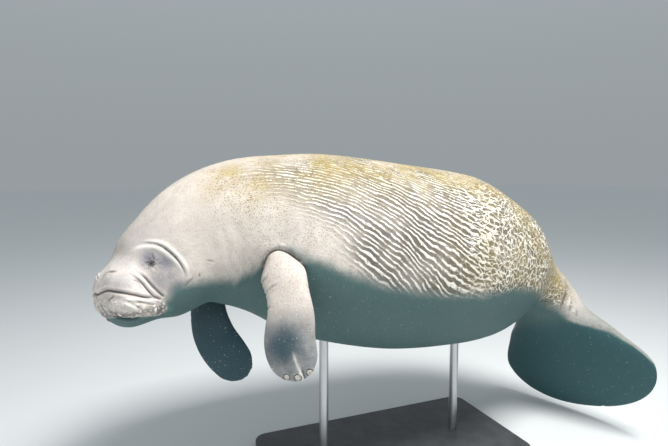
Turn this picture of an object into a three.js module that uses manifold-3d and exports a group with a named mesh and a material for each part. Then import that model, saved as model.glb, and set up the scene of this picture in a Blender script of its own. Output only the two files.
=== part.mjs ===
// A Florida manatee at life size, swimming with its back arched and its tail bent down, on a display stand.
// Millimetres, +Z up, origin on the floor under the middle of the whole. The head points to -X and the
// animal's left side, the raised one, to -Y.
// The body is first shaped straight along X, with the snout at x = 0 and the spine on the X axis, carved and
// parted there, and then bent into its pose. Limbs and stand are set where the bent body needs them.
import * as THREE from "three";
import { LoftGeometry } from "three/addons/geometries/LoftGeometry.js";
import { mergeVertices } from "three/addons/utils/BufferGeometryUtils.js";
import Module from "manifold-3d";

const wasm = await Module();
wasm.setup();

const GAP = 0.3; // between pieces that touch
const DEG = Math.PI / 180;

// The lines of the body: how far behind the snout, half the width, the height above the spine and the depth
// below it, and how square the section is (2 is an ellipse, less is a lens).
const LENGTH = 3010;
const STATIONS = [
  { name: "snout", at: 0, half: 110, top: 52, under: 106, square: 2.6 },
  { name: "lips", at: 56, half: 124, top: 77, under: 140, square: 2.6 },
  { name: "cheeks", at: 122, half: 131, top: 98, under: 170, square: 2.4 },
  { name: "eyes", at: 193, half: 149, top: 146, under: 214, square: 2.2 },
  { name: "skull", at: 310, half: 192, top: 182, under: 244, square: 2.1 },
  { name: "nape", at: 438, half: 240, top: 230, under: 298, square: 2.0 },
  { name: "shoulders", at: 692, half: 322, top: 325, under: 335, square: 2.0 },
  { name: "chest", at: 947, half: 375, top: 384, under: 423, square: 2.0 },
  { name: "belly", at: 1313, half: 407, top: 415, under: 450, square: 2.0 },
  { name: "loin", at: 1720, half: 372, top: 445, under: 406, square: 2.0 },
  { name: "rump", at: 2026, half: 298, top: 341, under: 313, square: 2.0 },
  { name: "vent", at: 2229, half: 195, top: 156, under: 168, square: 2.0 },
  { name: "tail stock", at: 2413, half: 200, top: 125, under: 130, square: 2.0 },
  { name: "tail root", at: 2555, half: 314, top: 82, under: 82, square: 1.8 },
  { name: "paddle", at: 2759, half: 431, top: 49, under: 49, square: 1.7 },
  { name: "tail end", at: 3010, half: 431, top: 26, under: 26, square: 1.7 },
];
const SNOUT_ROUND = { reach: 60, power: 2.6 };
const SNOUT_SLANT = { share: 0.16, reach: 170 }; // the front leans back from the lips up to the nostrils
const SNOUT_FLAT = 5; // behind the very front, where the relief of the face is full
const TAIL_ROUND = { reach: 280, power: 2.2 };

// The pose. Each bend turns the spine by its angles between two stations: down is towards the belly, left
// towards the animal's left.
const TRUNK = { nose_up: 11, roll: 17.5 };
const HEAD_BEND = { from: 285, to: 733, down: 44.1, left: 17.1 };
const TAIL_BEND = { from: 1883, to: 2545, down: 56.2, right: 5.1, roll: -3.6 };
const POSE_CENTRE = 1120; // the station that the trunk turns about

// Where the body is parted, each part reaching to the next. Head, muzzle and jaw are parted further down.
const PARTS = [
  { name: "neck", from: 360, to: 600 },
  { name: "chest", from: 600, to: 1080 },
  { name: "belly", from: 1080, to: 1600 },
  { name: "loin", from: 1600, to: 2120 },
  { name: "tail_stock", from: 2120, to: 2440 },
  { name: "tail_paddle", from: 2440, to: LENGTH },
];
const HEAD_END = 360;
const MUZZLE_END = 125;
const BODY_MESH = { columns: 38, spacing: 68 };
const HEAD_MESH = { columns: 60, muzzle_spacing: 11, skull_spacing: 20 };

// The mouth line seen from the side, from the front of the lips to their corner, and then the parting that
// runs on from there to the throat.
const MOUTH_LINE = [
  [-60, -52],
  [2, -70],
  [45, -104],
  [96, -125],
  [134, -136],
];
const JAW_PARTING = [
  [172, -192],
  [205, -300],
];

// Creases and ridges of the face, as lines on the straight head's left side: distance behind the snout,
// distance from the middle, height above the spine. Each is pressed in along its line by its depth, or raised
// where that is below zero, and the other side mirrors it.
const CREASES = [
  {
    name: "over the lips",
    depth: 6,
    width: 8,
    line: [
      [6, 0, 26],
      [12, 45, 32],
      [24, 88, 29],
      [43, 120, 0],
      [67, 125, -29],
      [90, 125, -53],
      [124, 124, -81],
    ],
  },
  {
    name: "mouth line",
    depth: 6,
    width: 8,
    line: [
      [-10, 0, -62],
      [2, 73, -70],
      [45, 107, -104],
      [96, 104, -125],
      [132, 96, -136],
    ],
  },
  {
    name: "between the lips",
    depth: 8,
    width: 11,
    line: [
      [6, 0, 20],
      [-9, 0, -60],
    ],
  },
  {
    name: "front cheek fold",
    depth: 5,
    width: 8,
    line: [
      [107, 122, 31],
      [116, 130, -20],
      [122, 122, -84],
    ],
  },
  {
    name: "rear cheek fold",
    depth: 4,
    width: 8,
    line: [
      [124, 130, 19],
      [131, 130, -50],
      [140, 127, -80],
    ],
  },
  {
    name: "ridge behind the eye",
    depth: -4,
    width: 12,
    line: [
      [165, 50, 118],
      [189, 113, 100],
      [212, 137, 79],
      [226, 155, 42],
      [236, 164, 4],
      [236, 162, -41],
    ],
  },
  {
    name: "crease behind the ridge",
    depth: 5,
    width: 10,
    line: [
      [180, 50, 126],
      [206, 116, 106],
      [230, 142, 84],
      [244, 160, 42],
      [254, 168, 0],
      [252, 164, -50],
    ],
  },
];
// Swellings and hollows of the face: where, how far they reach and how high they stand.
const MOUNDS = [
  { name: "front of the lip pad", at: [8, 52, -15], reach: 34, rise: 7 },
  { name: "lip pad", at: [45, 112, -50], reach: 36, rise: 7 },
  { name: "rear of the lip pad", at: [95, 114, -92], reach: 30, rise: 6 },
  { name: "corner of the lower lip", at: [140, 90, -154], reach: 20, rise: 7 },
  { name: "rim of the nostril", at: [66, 45, 76], reach: 24, rise: 5 },
  { name: "hollow of the eye", at: [184, 143, 32], reach: 50, rise: -8 },
];

// Each eye looks mostly sideways, a little forwards and upwards. Its lids are open by two angles, in degrees.
const EYE = {
  at: [180, 128, 27],
  look: [-0.25, 1, 0.12],
  ball: 11,
  lid: 4,
  lid_up: 20,
  lid_down: -24,
  tilt: -8,
};
const NOSTRIL = {
  line: [
    [54, 24, 76],
    [62, 44, 80],
    [74, 66, 76],
  ],
  radius: 5,
};
const EAR_PIT = { at: [283, 164, -106], radius: 4 };

// Both flippers have one shape: distance from the shoulder as a share of the length, half the width and half
// the thickness. The joints they run through are set from the middle of the trunk.
const FLIPPER_SHAPE = [
  { name: "shoulder", at: 0, half: 84, top: 46, under: 46, square: 2.0 },
  { name: "upper arm", at: 0.22, half: 84, top: 46, under: 44, square: 2.0 },
  { name: "elbow", at: 0.38, half: 75, top: 37, under: 35, square: 2.0 },
  { name: "wrist", at: 0.6, half: 87, top: 25, under: 23, square: 2.0 },
  { name: "palm", at: 0.75, half: 91, top: 19, under: 17, square: 1.9 },
  { name: "fingers", at: 1, half: 72, top: 11, under: 10, square: 1.9 },
];
const FLIPPER_ROUND = { reach: 76, thickness_power: 0.6 }; // how the tip rounds off and thins
const FLIPPERS = [
  {
    side: "left",
    joints: [
      [-402, -262, 16],
      [-399, -367, -62],
      [-399, -432, -160],
      [-408, -455, -275],
      [-376, -474, -397],
    ],
    across: [0.926, -0.378, 0],
    mirror: 1,
  },
  {
    side: "right",
    joints: [
      [-518, 176, -73],
      [-605, 88, -212],
      [-614, 38, -282],
      [-592, -12, -368],
      [-489, -90, -514],
    ],
    across: [0.86, -0.35, 0.37],
    mirror: -1,
  },
];
// Three nails on the outer face of each flipper's tip: how far before the end, how far across, and half their
// length and width.
const NAILS = [
  { before: 30, across: -42, long: 11, wide: 9 },
  { before: 16, across: -6, long: 12, wide: 11 },
  { before: 20, across: 38, long: 11, wide: 10 },
];
const NAIL_THICK = 4.5;
const NAIL_MESH = [12, 6];

// The stand: a flat base on the floor and two rods up to the body.
const STAND = { long: 1240, wide: 640, thick: 24, corner: 60, bevel: 3, rod: 21, front: 1010, rear: 1740 };
const STAND_MESH = { corner_segments: 6, rod_sides: 28 };
const TAIL_CLEAR = 34; // of the tail's lowest point above the floor

const smooth = (t) => {
  const c = THREE.MathUtils.clamp(t, 0, 1);
  return c * c * (3 - 2 * c);
};
const bump = (distance, width) => Math.exp(-((distance / width) ** 2));

// A measure such as half the width at a place along a list of stations, by a cubic that never overshoots
// them.
function slopesOf(stations, key) {
  const step = stations.slice(1).map((s, i) => s.at - stations[i].at);
  const rise = step.map((h, i) => (stations[i + 1][key] - stations[i][key]) / h);
  const inner = rise.slice(1).map((b, i) => {
    const a = rise[i];
    if (a * b <= 0) return 0;
    const wa = 2 * step[i + 1] + step[i];
    const wb = step[i + 1] + 2 * step[i];
    return (wa + wb) / (wa / a + wb / b);
  });
  return [rise[0], ...inner, rise.at(-1)];
}
function measureAlong(stations) {
  const slopes = {};
  for (const key of ["half", "top", "under", "square"]) slopes[key] = slopesOf(stations, key);
  return (key, x) => {
    const at = THREE.MathUtils.clamp(x, 0, stations.at(-1).at);
    const i = Math.max(1, stations.findIndex((s) => s.at >= at)) - 1;
    const a = stations[i];
    const b = stations[i + 1];
    const h = b.at - a.at;
    const t = (at - a.at) / h;
    const m = slopes[key];
    return (
      a[key] * (1 + 2 * t) * (1 - t) ** 2 +
      b[key] * t * t * (3 - 2 * t) +
      h * (m[i] * t * (1 - t) ** 2 - m[i + 1] * t * t * (1 - t))
    );
  };
}
const measure = measureAlong(STATIONS);

// How much of its full girth the body has reached, near its two round ends.
function fullness(x) {
  const fromSnout = Math.min(1, x / SNOUT_ROUND.reach);
  const fromTail = Math.min(1, (LENGTH - x) / TAIL_ROUND.reach);
  return (
    (1 - (1 - fromSnout) ** SNOUT_ROUND.power) ** (1 / SNOUT_ROUND.power) *
    (1 - (1 - fromTail) ** TAIL_ROUND.power) ** (1 / TAIL_ROUND.power)
  );
}

// The plain surface of the straight body at a station and an angle round it, from the right side upwards.
function plainPoint(x, angle, grow = 0) {
  const [c, s] = [Math.cos(angle), Math.sin(angle)];
  const power = 2 / measure("square", x);
  const round = fullness(x);
  const depth = s >= 0 ? measure("top", x) : measure("under", x);
  const height = (depth * round + grow) * Math.sign(s) * Math.abs(s) ** power;
  return new THREE.Vector3(
    x + SNOUT_SLANT.share * height * (1 - smooth(x / SNOUT_SLANT.reach)),
    (measure("half", x) * round + grow) * Math.sign(c) * Math.abs(c) ** power,
    height,
  );
}

// How far the relief of the face lifts the plain surface at a point of it. The right side mirrors the left.
const nearest = new THREE.Vector3();
function distanceToLine(point, line) {
  let least = Infinity;
  for (let i = 1; i < line.length; i++) {
    const segment = new THREE.Line3(line[i - 1], line[i]);
    least = Math.min(least, segment.closestPointToPoint(point, true, nearest).distanceTo(point));
  }
  return least;
}
const creases = CREASES.map((c) => ({ ...c, line: c.line.map((p) => new THREE.Vector3(...p)) }));
const mounds = MOUNDS.map((m) => ({ ...m, at: new THREE.Vector3(...m.at) }));
function relief(point) {
  const leftSide = new THREE.Vector3(point.x, Math.abs(point.y), point.z);
  let lift = 0;
  for (const { depth, width, line } of creases) {
    lift -= depth * bump(distanceToLine(leftSide, line), width);
  }
  for (const { at, reach, rise } of mounds) {
    lift += rise * bump(leftSide.distanceTo(at), reach);
  }
  return lift;
}

// The surface of the head with its relief. The way out of it comes from points a little along and a little
// round.
const PROBE = { along: 0.5, least: 0.1, round: 0.01 };
function skinPoint(x, angle) {
  const point = plainPoint(x, angle);
  const before = Math.max(PROBE.least, x - PROBE.along);
  const along = plainPoint(x + PROBE.along, angle).sub(plainPoint(before, angle));
  const round = plainPoint(x, angle + PROBE.round).sub(plainPoint(x, angle - PROBE.round));
  const outward = new THREE.Vector3().crossVectors(round, along).normalize();
  return point.addScaledVector(outward, relief(point) * smooth(x / SNOUT_FLAT));
}

// Stations of the rings between two stations, closer together round the ends of the body. The outermost ring
// stands a part of a step inside the end, and no ring stands close to a parting.
const SNOUT_RINGS = { count: 8, inset: 0.35 };
const TAIL_RINGS = { count: 9, inset: 0.3 };
const RING_CLEARANCE = 1 / 3; // of the spacing
function ringStations(from, to, spacing) {
  const [snout, tail] = [SNOUT_ROUND.reach, TAIL_ROUND.reach];
  const roundOff = (share) => 1 - Math.cos((share * Math.PI) / 2);
  const places = [];
  for (let i = 0; i < SNOUT_RINGS.count; i++) {
    places.push(snout * roundOff((i + SNOUT_RINGS.inset) / SNOUT_RINGS.count));
  }
  const middle = Math.round((LENGTH - snout - tail) / spacing);
  for (let i = 0; i <= middle; i++) {
    places.push(snout + ((LENGTH - snout - tail) * i) / middle);
  }
  for (let i = TAIL_RINGS.count - 1; i >= 0; i--) {
    places.push(LENGTH - tail * roundOff((i + TAIL_RINGS.inset) / TAIL_RINGS.count));
  }
  const first = from <= 0 ? places[0] : from;
  const last = to >= LENGTH ? places.at(-1) : to;
  const clear = spacing * RING_CLEARANCE;
  const inner = places.filter((x) => x > first + clear && x < last - clear);
  const ends = places.filter((x) => (x < snout && from <= 0 && x > first) || (x > LENGTH - tail && x < last));
  return [...new Set([first, ...ends, ...inner, last])].sort((a, b) => a - b);
}

function ringAngles(columns) {
  return Array.from({ length: columns }, (_, i) => (2 * Math.PI * i) / columns);
}

// A solid from a geometry with its shared vertices merged.
const MERGE_WITHIN = 1e-4;
function solidOf(geometry) {
  const bare = new THREE.BufferGeometry()
    .setAttribute("position", geometry.getAttribute("position"))
    .setIndex(geometry.index);
  const merged = mergeVertices(bare, MERGE_WITHIN);
  return new wasm.Manifold(
    new wasm.Mesh({
      numProp: 3,
      vertProperties: new Float32Array(merged.attributes.position.array),
      triVerts: new Uint32Array(merged.index.array),
    }),
  );
}

function loftSolid(rings) {
  return solidOf(new LoftGeometry(rings, { capStart: true, capEnd: true }));
}

function geometryOf(solid) {
  const mesh = solid.getMesh();
  const places = new Float32Array(mesh.numVert * 3);
  for (let i = 0; i < mesh.numVert; i++) {
    const start = i * mesh.numProp;
    places.set(mesh.vertProperties.subarray(start, start + 3), i * 3);
  }
  return new THREE.BufferGeometry()
    .setAttribute("position", new THREE.BufferAttribute(places, 3))
    .setIndex(new THREE.BufferAttribute(new Uint32Array(mesh.triVerts), 1));
}

// The straight body through some stations as a solid.
function bodySolid(stations, grow = 0) {
  const angles = ringAngles(BODY_MESH.columns);
  return loftSolid(stations.map((x) => angles.map((angle) => plainPoint(x, angle, grow))));
}
function headSolid() {
  const angles = ringAngles(HEAD_MESH.columns);
  const muzzle = ringStations(0, MUZZLE_END, HEAD_MESH.muzzle_spacing);
  const skull = ringStations(MUZZLE_END, HEAD_END - GAP / 2, HEAD_MESH.skull_spacing);
  const stations = [...muzzle, ...skull.slice(1)];
  return loftSolid(stations.map((x) => angles.map((angle) => skinPoint(x, angle))));
}

// The spine's line and its frames, stepped along the bent body.
const SPINE_STEP = 5;
const spine = [];
{
  const frameAt = (x) => {
    const head = 1 - smooth((x - HEAD_BEND.from) / (HEAD_BEND.to - HEAD_BEND.from));
    const tail = smooth((x - TAIL_BEND.from) / (TAIL_BEND.to - TAIL_BEND.from));
    const pitch = (HEAD_BEND.down * head - TAIL_BEND.down * tail) * DEG;
    const turn = (HEAD_BEND.left * head + TAIL_BEND.right * tail) * DEG;
    const along = new THREE.Vector3(
      Math.cos(pitch) * Math.cos(turn),
      Math.cos(pitch) * Math.sin(turn),
      Math.sin(pitch),
    );
    const side = new THREE.Vector3(-Math.sin(turn), Math.cos(turn), 0);
    const up = new THREE.Vector3().crossVectors(along, side);
    side.applyAxisAngle(along, TAIL_BEND.roll * tail * DEG);
    up.applyAxisAngle(along, TAIL_BEND.roll * tail * DEG);
    return { along, side, up };
  };
  const place = new THREE.Vector3();
  for (let x = 0; x <= LENGTH; x += SPINE_STEP) {
    spine.push({ place: place.clone(), ...frameAt(x) });
    place.addScaledVector(frameAt(x + SPINE_STEP / 2).along, SPINE_STEP);
  }
  const centre = spine[POSE_CENTRE / SPINE_STEP].place.clone();
  spine.forEach((s) => s.place.sub(centre));
}
const attitude = new THREE.Matrix4()
  .makeRotationY(TRUNK.nose_up * DEG)
  .multiply(new THREE.Matrix4().makeRotationX(-TRUNK.roll * DEG));

// Moves a point of the straight body to where it is in the pose.
function pose(point) {
  const at = THREE.MathUtils.clamp(point.x, 0, LENGTH);
  const i = Math.min(spine.length - 2, Math.floor(at / SPINE_STEP));
  const t = at / SPINE_STEP - i;
  const blend = (key) => spine[i][key].clone().lerp(spine[i + 1][key], t);
  return blend("place")
    .addScaledVector(blend("along"), point.x - at)
    .addScaledVector(blend("side"), point.y)
    .addScaledVector(blend("up"), point.z)
    .applyMatrix4(attitude);
}
function posed(solid) {
  const geometry = geometryOf(solid);
  const places = geometry.attributes.position;
  const point = new THREE.Vector3();
  for (let i = 0; i < places.count; i++) {
    point.copy(pose(point.fromBufferAttribute(places, i)));
    places.setXYZ(i, point.x, point.y, point.z);
  }
  return solidOf(geometry);
}

// The largest closed surface of a solid, without what a cut has left loose.
function largest(solid) {
  return solid.decompose().sort((a, b) => b.volume() - a.volume())[0];
}

// A slab across the whole body whose outline is given from the side, as points of distance and height. It
// reaches past both sides of the head and well below it.
const SLAB_WIDTH = 700;
const SLAB_DEPTH = 500;
function sideSlab(outline) {
  const shape = new THREE.Shape(outline.map(([x, z]) => new THREE.Vector2(x, z)));
  const geometry = new THREE.ExtrudeGeometry(shape, { depth: SLAB_WIDTH, bevelEnabled: false });
  geometry.rotateX(Math.PI / 2);
  geometry.translate(0, SLAB_WIDTH / 2, 0);
  return solidOf(geometry);
}

// A thick line with tapered ends through points, for a slit.
const SLIT = { rings: 7, columns: 8, end_share: 0.25 };
function slitSolid(points, radius) {
  const curve = new THREE.CatmullRomCurve3(points.map((p) => new THREE.Vector3(...p)));
  const rings = [];
  for (let i = 0; i <= SLIT.rings; i++) {
    const share = i / SLIT.rings;
    const along = curve.getTangentAt(share);
    const side = new THREE.Vector3(0, 0, 1).cross(along).normalize();
    const up = new THREE.Vector3().crossVectors(along, side);
    const thick = radius * (SLIT.end_share + (1 - SLIT.end_share) * Math.sin(Math.PI * share));
    const ring = ringAngles(SLIT.columns).map((angle) =>
      curve
        .getPointAt(share)
        .addScaledVector(side, thick * Math.cos(angle))
        .addScaledVector(up, thick * Math.sin(angle)),
    );
    rings.push(ring);
  }
  return loftSolid(rings);
}

function sphereSolid(radius, around, down) {
  return solidOf(new THREE.SphereGeometry(radius, around, down));
}

// Sets a solid made at the origin to a place, with its X, Y and Z turned to three directions.
function placed(solid, place, x, y, z) {
  const m = new THREE.Matrix4().makeBasis(x, y, z).setPosition(place);
  return solid.transform(m.elements);
}

const skin = new THREE.MeshStandardMaterial({ color: 0xb3aa9c, roughness: 0.6, metalness: 0 });
const eyeSurface = new THREE.MeshStandardMaterial({ color: 0x1c1512, roughness: 0.15, metalness: 0 });
const nailSurface = new THREE.MeshStandardMaterial({ color: 0xd9cdb6, roughness: 0.4, metalness: 0 });
const standPaint = new THREE.MeshStandardMaterial({ color: 0x2b2d30, roughness: 0.5, metalness: 0 });
const rodSteel = new THREE.MeshStandardMaterial({ color: 0x8d9194, roughness: 0.35, metalness: 1 });
const pieces = [];
function add(name, solid, material) {
  pieces.push({ name, solid, material });
}
const SIDES = [
  ["left", -1],
  ["right", 1],
];

// Head, muzzle and jaw from one solid: sockets, nostrils and ear pits first, and then the parting cuts.
function offsetLine(line, by) {
  return line.map(([x, z], i) => {
    const [x0, z0] = line[Math.max(0, i - 1)];
    const [x1, z1] = line[Math.min(line.length - 1, i + 1)];
    const length = Math.hypot(x1 - x0, z1 - z0);
    return [x - ((z1 - z0) / length) * by, z + ((x1 - x0) / length) * by];
  });
}
let wholeHead = headSolid();
const eyes = SIDES.map(([side, sign]) => {
  const [x, y, z] = EYE.at;
  const place = new THREE.Vector3(x, sign * y, z);
  const [lookBack, lookOut, lookUp] = EYE.look;
  const look = new THREE.Vector3(lookBack, sign * lookOut, lookUp).normalize();
  const corner = new THREE.Vector3(-Math.cos(EYE.tilt * DEG), 0, Math.sin(EYE.tilt * DEG));
  corner.addScaledVector(look, -corner.dot(look)).normalize();
  const up = new THREE.Vector3().crossVectors(look, corner).multiplyScalar(sign);
  return { side, place, look, up };
});
const BALL_MESH = [14, 10];
const PIT_MESH = [10, 8];
for (const { side, place, look, up } of eyes) {
  const lidOuter = EYE.ball + EYE.lid;
  const front = (solid, back) => solid.trimByPlane(look.toArray(), back);
  const ballRoom = sphereSolid(EYE.ball + GAP, ...BALL_MESH);
  const socket = front(sphereSolid(lidOuter + GAP, ...BALL_MESH), -GAP).add(ballRoom);
  wholeHead = wholeHead.subtract(socket.translate(place.toArray()));
  const shell = front(sphereSolid(lidOuter, ...BALL_MESH), 0).subtract(ballRoom);
  const lids = [
    ["upper", 1, EYE.lid_up],
    ["lower", -1, EYE.lid_down],
  ];
  for (const [lid, sign, angle] of lids) {
    const edge = up.clone().multiplyScalar(Math.cos(angle * DEG));
    edge.addScaledVector(look, -Math.sin(angle * DEG));
    const solid = shell.trimByPlane(edge.multiplyScalar(sign).toArray(), GAP / 2);
    add(`eyelid_${lid}_${side}`, posed(solid.translate(place.toArray())), skin);
  }
  add(`eye_${side}`, posed(sphereSolid(EYE.ball, ...BALL_MESH).translate(place.toArray())), eyeSurface);
}
for (const [, sign] of SIDES) {
  const nostril = NOSTRIL.line.map(([x, y, z]) => [x, sign * y, z]);
  wholeHead = wholeHead.subtract(slitSolid(nostril, NOSTRIL.radius));
  const [x, y, z] = EAR_PIT.at;
  wholeHead = wholeHead.subtract(sphereSolid(EAR_PIT.radius, ...PIT_MESH).translate([x, sign * y, z]));
}
const parting = [...MOUTH_LINE, ...JAW_PARTING];
const [lineStart, lineEnd] = [parting[0][0], parting.at(-1)[0]];
const closing = [
  [lineEnd, -SLAB_DEPTH],
  [lineStart, -SLAB_DEPTH],
];
const jawSide = sideSlab([...offsetLine(parting, -GAP / 2), ...closing]);
const skullSide = sideSlab([...offsetLine(parting, GAP / 2), ...closing]);
add("jaw", posed(largest(wholeHead.intersect(jawSide))), skin);
const upperHead = wholeHead.subtract(skullSide);
add("muzzle", posed(largest(upperHead.trimByPlane([-1, 0, 0], -MUZZLE_END + GAP / 2))), skin);
add("head", posed(largest(upperHead.trimByPlane([1, 0, 0], MUZZLE_END + GAP / 2))), skin);

// The rest of the body.
const CLEAR = 0.6; // how far limbs and rods stay outside the body's faces
const bodyStations = [];
for (const { name, from, to } of PARTS) {
  const stations = ringStations(from + GAP / 2, to === LENGTH ? to : to - GAP / 2, BODY_MESH.spacing);
  add(name, posed(bodySolid(stations)), skin);
  bodyStations.push(...stations);
}
const grownBody = posed(bodySolid(bodyStations, CLEAR));

// The flippers, each along a curve through its joints, cut off where they meet the body. Most of the rings
// are spaced evenly, and the rest close up round the tip and end a little short of its very end.
const flipperMeasure = measureAlong(FLIPPER_SHAPE);
const FLIPPER_MESH = { rings: 15, columns: 20, even_share: 0.6, tip_turn: 1.5 };
function flipperFrame(curve, across, share) {
  const along = curve.getTangentAt(share);
  const side = across.clone().addScaledVector(along, -across.dot(along)).normalize();
  return { place: curve.getPointAt(share), along, side, face: new THREE.Vector3().crossVectors(along, side) };
}
for (const { side, joints, across, mirror } of FLIPPERS) {
  const curve = new THREE.CatmullRomCurve3(joints.map((p) => new THREE.Vector3(...p)));
  const length = curve.getLength();
  const acrossWay = new THREE.Vector3(...across).multiplyScalar(mirror);
  const rounding = (share) => {
    const left = Math.min(1, ((1 - share) * length) / FLIPPER_ROUND.reach);
    return Math.sqrt(1 - (1 - left) ** 2);
  };
  const thinning = (share) => rounding(share) ** FLIPPER_ROUND.thickness_power;
  const shares = [];
  const roundFrom = 1 - FLIPPER_ROUND.reach / length;
  const even = FLIPPER_MESH.even_share;
  for (let i = 0; i <= FLIPPER_MESH.rings; i++) {
    const t = i / FLIPPER_MESH.rings;
    const turn = ((t - even) / (1 - even)) * FLIPPER_MESH.tip_turn;
    shares.push(t < even ? (roundFrom * t) / even : roundFrom + (1 - roundFrom) * Math.sin(turn));
  }
  const rings = shares.map((share) => {
    const { place, side: way, face } = flipperFrame(curve, acrossWay, share);
    const power = 2 / flipperMeasure("square", share);
    return ringAngles(FLIPPER_MESH.columns).map((angle) => {
      const [c, s] = [Math.cos(angle), Math.sin(angle)];
      const thick = flipperMeasure(s >= 0 ? "top" : "under", share) * thinning(share);
      const half = flipperMeasure("half", share) * rounding(share);
      return place
        .clone()
        .addScaledVector(way, half * Math.sign(c) * Math.abs(c) ** power)
        .addScaledVector(face, thick * Math.sign(s) * Math.abs(s) ** power);
    });
  });
  let flipper = loftSolid(rings).subtract(grownBody);
  NAILS.forEach(({ before, across: off, long, wide }, i) => {
    const share = 1 - before / length;
    const { place, side: way, face } = flipperFrame(curve, acrossWay, share);
    const half = flipperMeasure("half", share) * rounding(share);
    const lean = Math.sqrt(Math.max(0, 1 - (off / half) ** 2));
    const thick = flipperMeasure("top", share) * thinning(share) * lean;
    const centre = place.clone().addScaledVector(way, off * mirror).addScaledVector(face, thick);
    const nail = (grow) =>
      placed(
        sphereSolid(1, ...NAIL_MESH).scale([wide + grow, long + grow, NAIL_THICK + grow]),
        centre,
        way,
        face.clone().cross(way),
        face,
      );
    flipper = flipper.subtract(nail(GAP));
    add(`nail_${side}_${i + 1}`, nail(0), nailSurface);
  });
  add(`flipper_${side}`, largest(flipper), skin);
}

// The stand, on the floor, which lies under the tail's lowest point.
const tail = pieces.find(({ name }) => name === "tail_paddle").solid.boundingBox();
const floor = tail.min[2] - TAIL_CLEAR;
const corner = STAND.corner;
const [halfLong, halfWide] = [STAND.long / 2 - STAND.bevel, STAND.wide / 2 - STAND.bevel];
const plan = new THREE.Shape();
const QUARTER = Math.PI / 2;
const CORNERS = [
  [1, 1],
  [-1, 1],
  [-1, -1],
  [1, -1],
];
CORNERS.forEach(([x, y], i) => {
  const [cx, cy] = [x * (halfLong - corner), y * (halfWide - corner)];
  plan.absarc(cx, cy, corner, i * QUARTER, (i + 1) * QUARTER, false);
});
const plate = new THREE.ExtrudeGeometry(plan, {
  depth: STAND.thick - 2 * STAND.bevel,
  bevelThickness: STAND.bevel,
  bevelSize: STAND.bevel,
  bevelSegments: 1,
  curveSegments: STAND_MESH.corner_segments,
});
const rodPlaces = [
  ["front", STAND.front],
  ["rear", STAND.rear],
].map(([name, x]) => [name, pose(new THREE.Vector3(x, 0, 0))]);
const standX = (rodPlaces[0][1].x + rodPlaces[1][1].x) / 2;
const standY = (rodPlaces[0][1].y + rodPlaces[1][1].y) / 2;
add("stand_base", solidOf(plate).translate([standX, standY, floor + STAND.bevel]), standPaint);
for (const [name, top] of rodPlaces) {
  const foot = floor + STAND.thick + GAP;
  const height = top.z - foot;
  const cylinder = new THREE.CylinderGeometry(STAND.rod, STAND.rod, height, STAND_MESH.rod_sides);
  cylinder.rotateX(Math.PI / 2);
  cylinder.translate(top.x, top.y, foot + height / 2);
  const rod = solidOf(cylinder).subtract(grownBody);
  const lowest = rod.decompose().sort((a, b) => a.boundingBox().min[2] - b.boundingBox().min[2])[0];
  add(`stand_rod_${name}`, lowest, rodSteel);
}

// The whole is moved so that the origin lies on the floor under its middle.
const whole = new THREE.Box3();
for (const { solid } of pieces) {
  const { min, max } = solid.boundingBox();
  whole.union(new THREE.Box3(new THREE.Vector3(...min), new THREE.Vector3(...max)));
}
const shift = [-(whole.min.x + whole.max.x) / 2, -(whole.min.y + whole.max.y) / 2, -whole.min.z];
const group = new THREE.Group();
for (const { name, solid, material } of pieces) {
  const mesh = new THREE.Mesh(geometryOf(solid.translate(shift)), material);
  mesh.name = name;
  group.add(mesh);
}

export default group;
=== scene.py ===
import math

import bpy
import numpy as np
from mathutils import Matrix, Vector
from mathutils.kdtree import KDTree


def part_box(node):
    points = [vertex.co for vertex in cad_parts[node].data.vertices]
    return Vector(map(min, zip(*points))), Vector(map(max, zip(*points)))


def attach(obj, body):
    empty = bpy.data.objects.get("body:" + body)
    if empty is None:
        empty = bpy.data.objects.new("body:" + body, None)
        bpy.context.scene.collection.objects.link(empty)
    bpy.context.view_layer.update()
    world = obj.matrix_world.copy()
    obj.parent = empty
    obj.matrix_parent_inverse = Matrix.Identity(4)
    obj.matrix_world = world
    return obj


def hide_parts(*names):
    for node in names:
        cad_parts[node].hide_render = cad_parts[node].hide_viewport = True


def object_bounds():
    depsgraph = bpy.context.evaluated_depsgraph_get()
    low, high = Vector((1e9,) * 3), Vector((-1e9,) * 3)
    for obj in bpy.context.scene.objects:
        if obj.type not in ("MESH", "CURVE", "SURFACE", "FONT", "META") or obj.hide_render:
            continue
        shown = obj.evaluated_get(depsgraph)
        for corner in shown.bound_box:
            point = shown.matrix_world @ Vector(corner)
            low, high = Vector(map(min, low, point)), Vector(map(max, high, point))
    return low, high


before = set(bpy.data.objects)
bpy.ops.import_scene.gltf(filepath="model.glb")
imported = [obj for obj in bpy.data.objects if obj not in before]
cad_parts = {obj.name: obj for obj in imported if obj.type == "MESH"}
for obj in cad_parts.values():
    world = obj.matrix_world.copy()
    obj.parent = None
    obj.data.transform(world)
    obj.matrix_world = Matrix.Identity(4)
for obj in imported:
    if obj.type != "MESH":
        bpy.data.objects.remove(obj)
cad_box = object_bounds()

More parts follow.
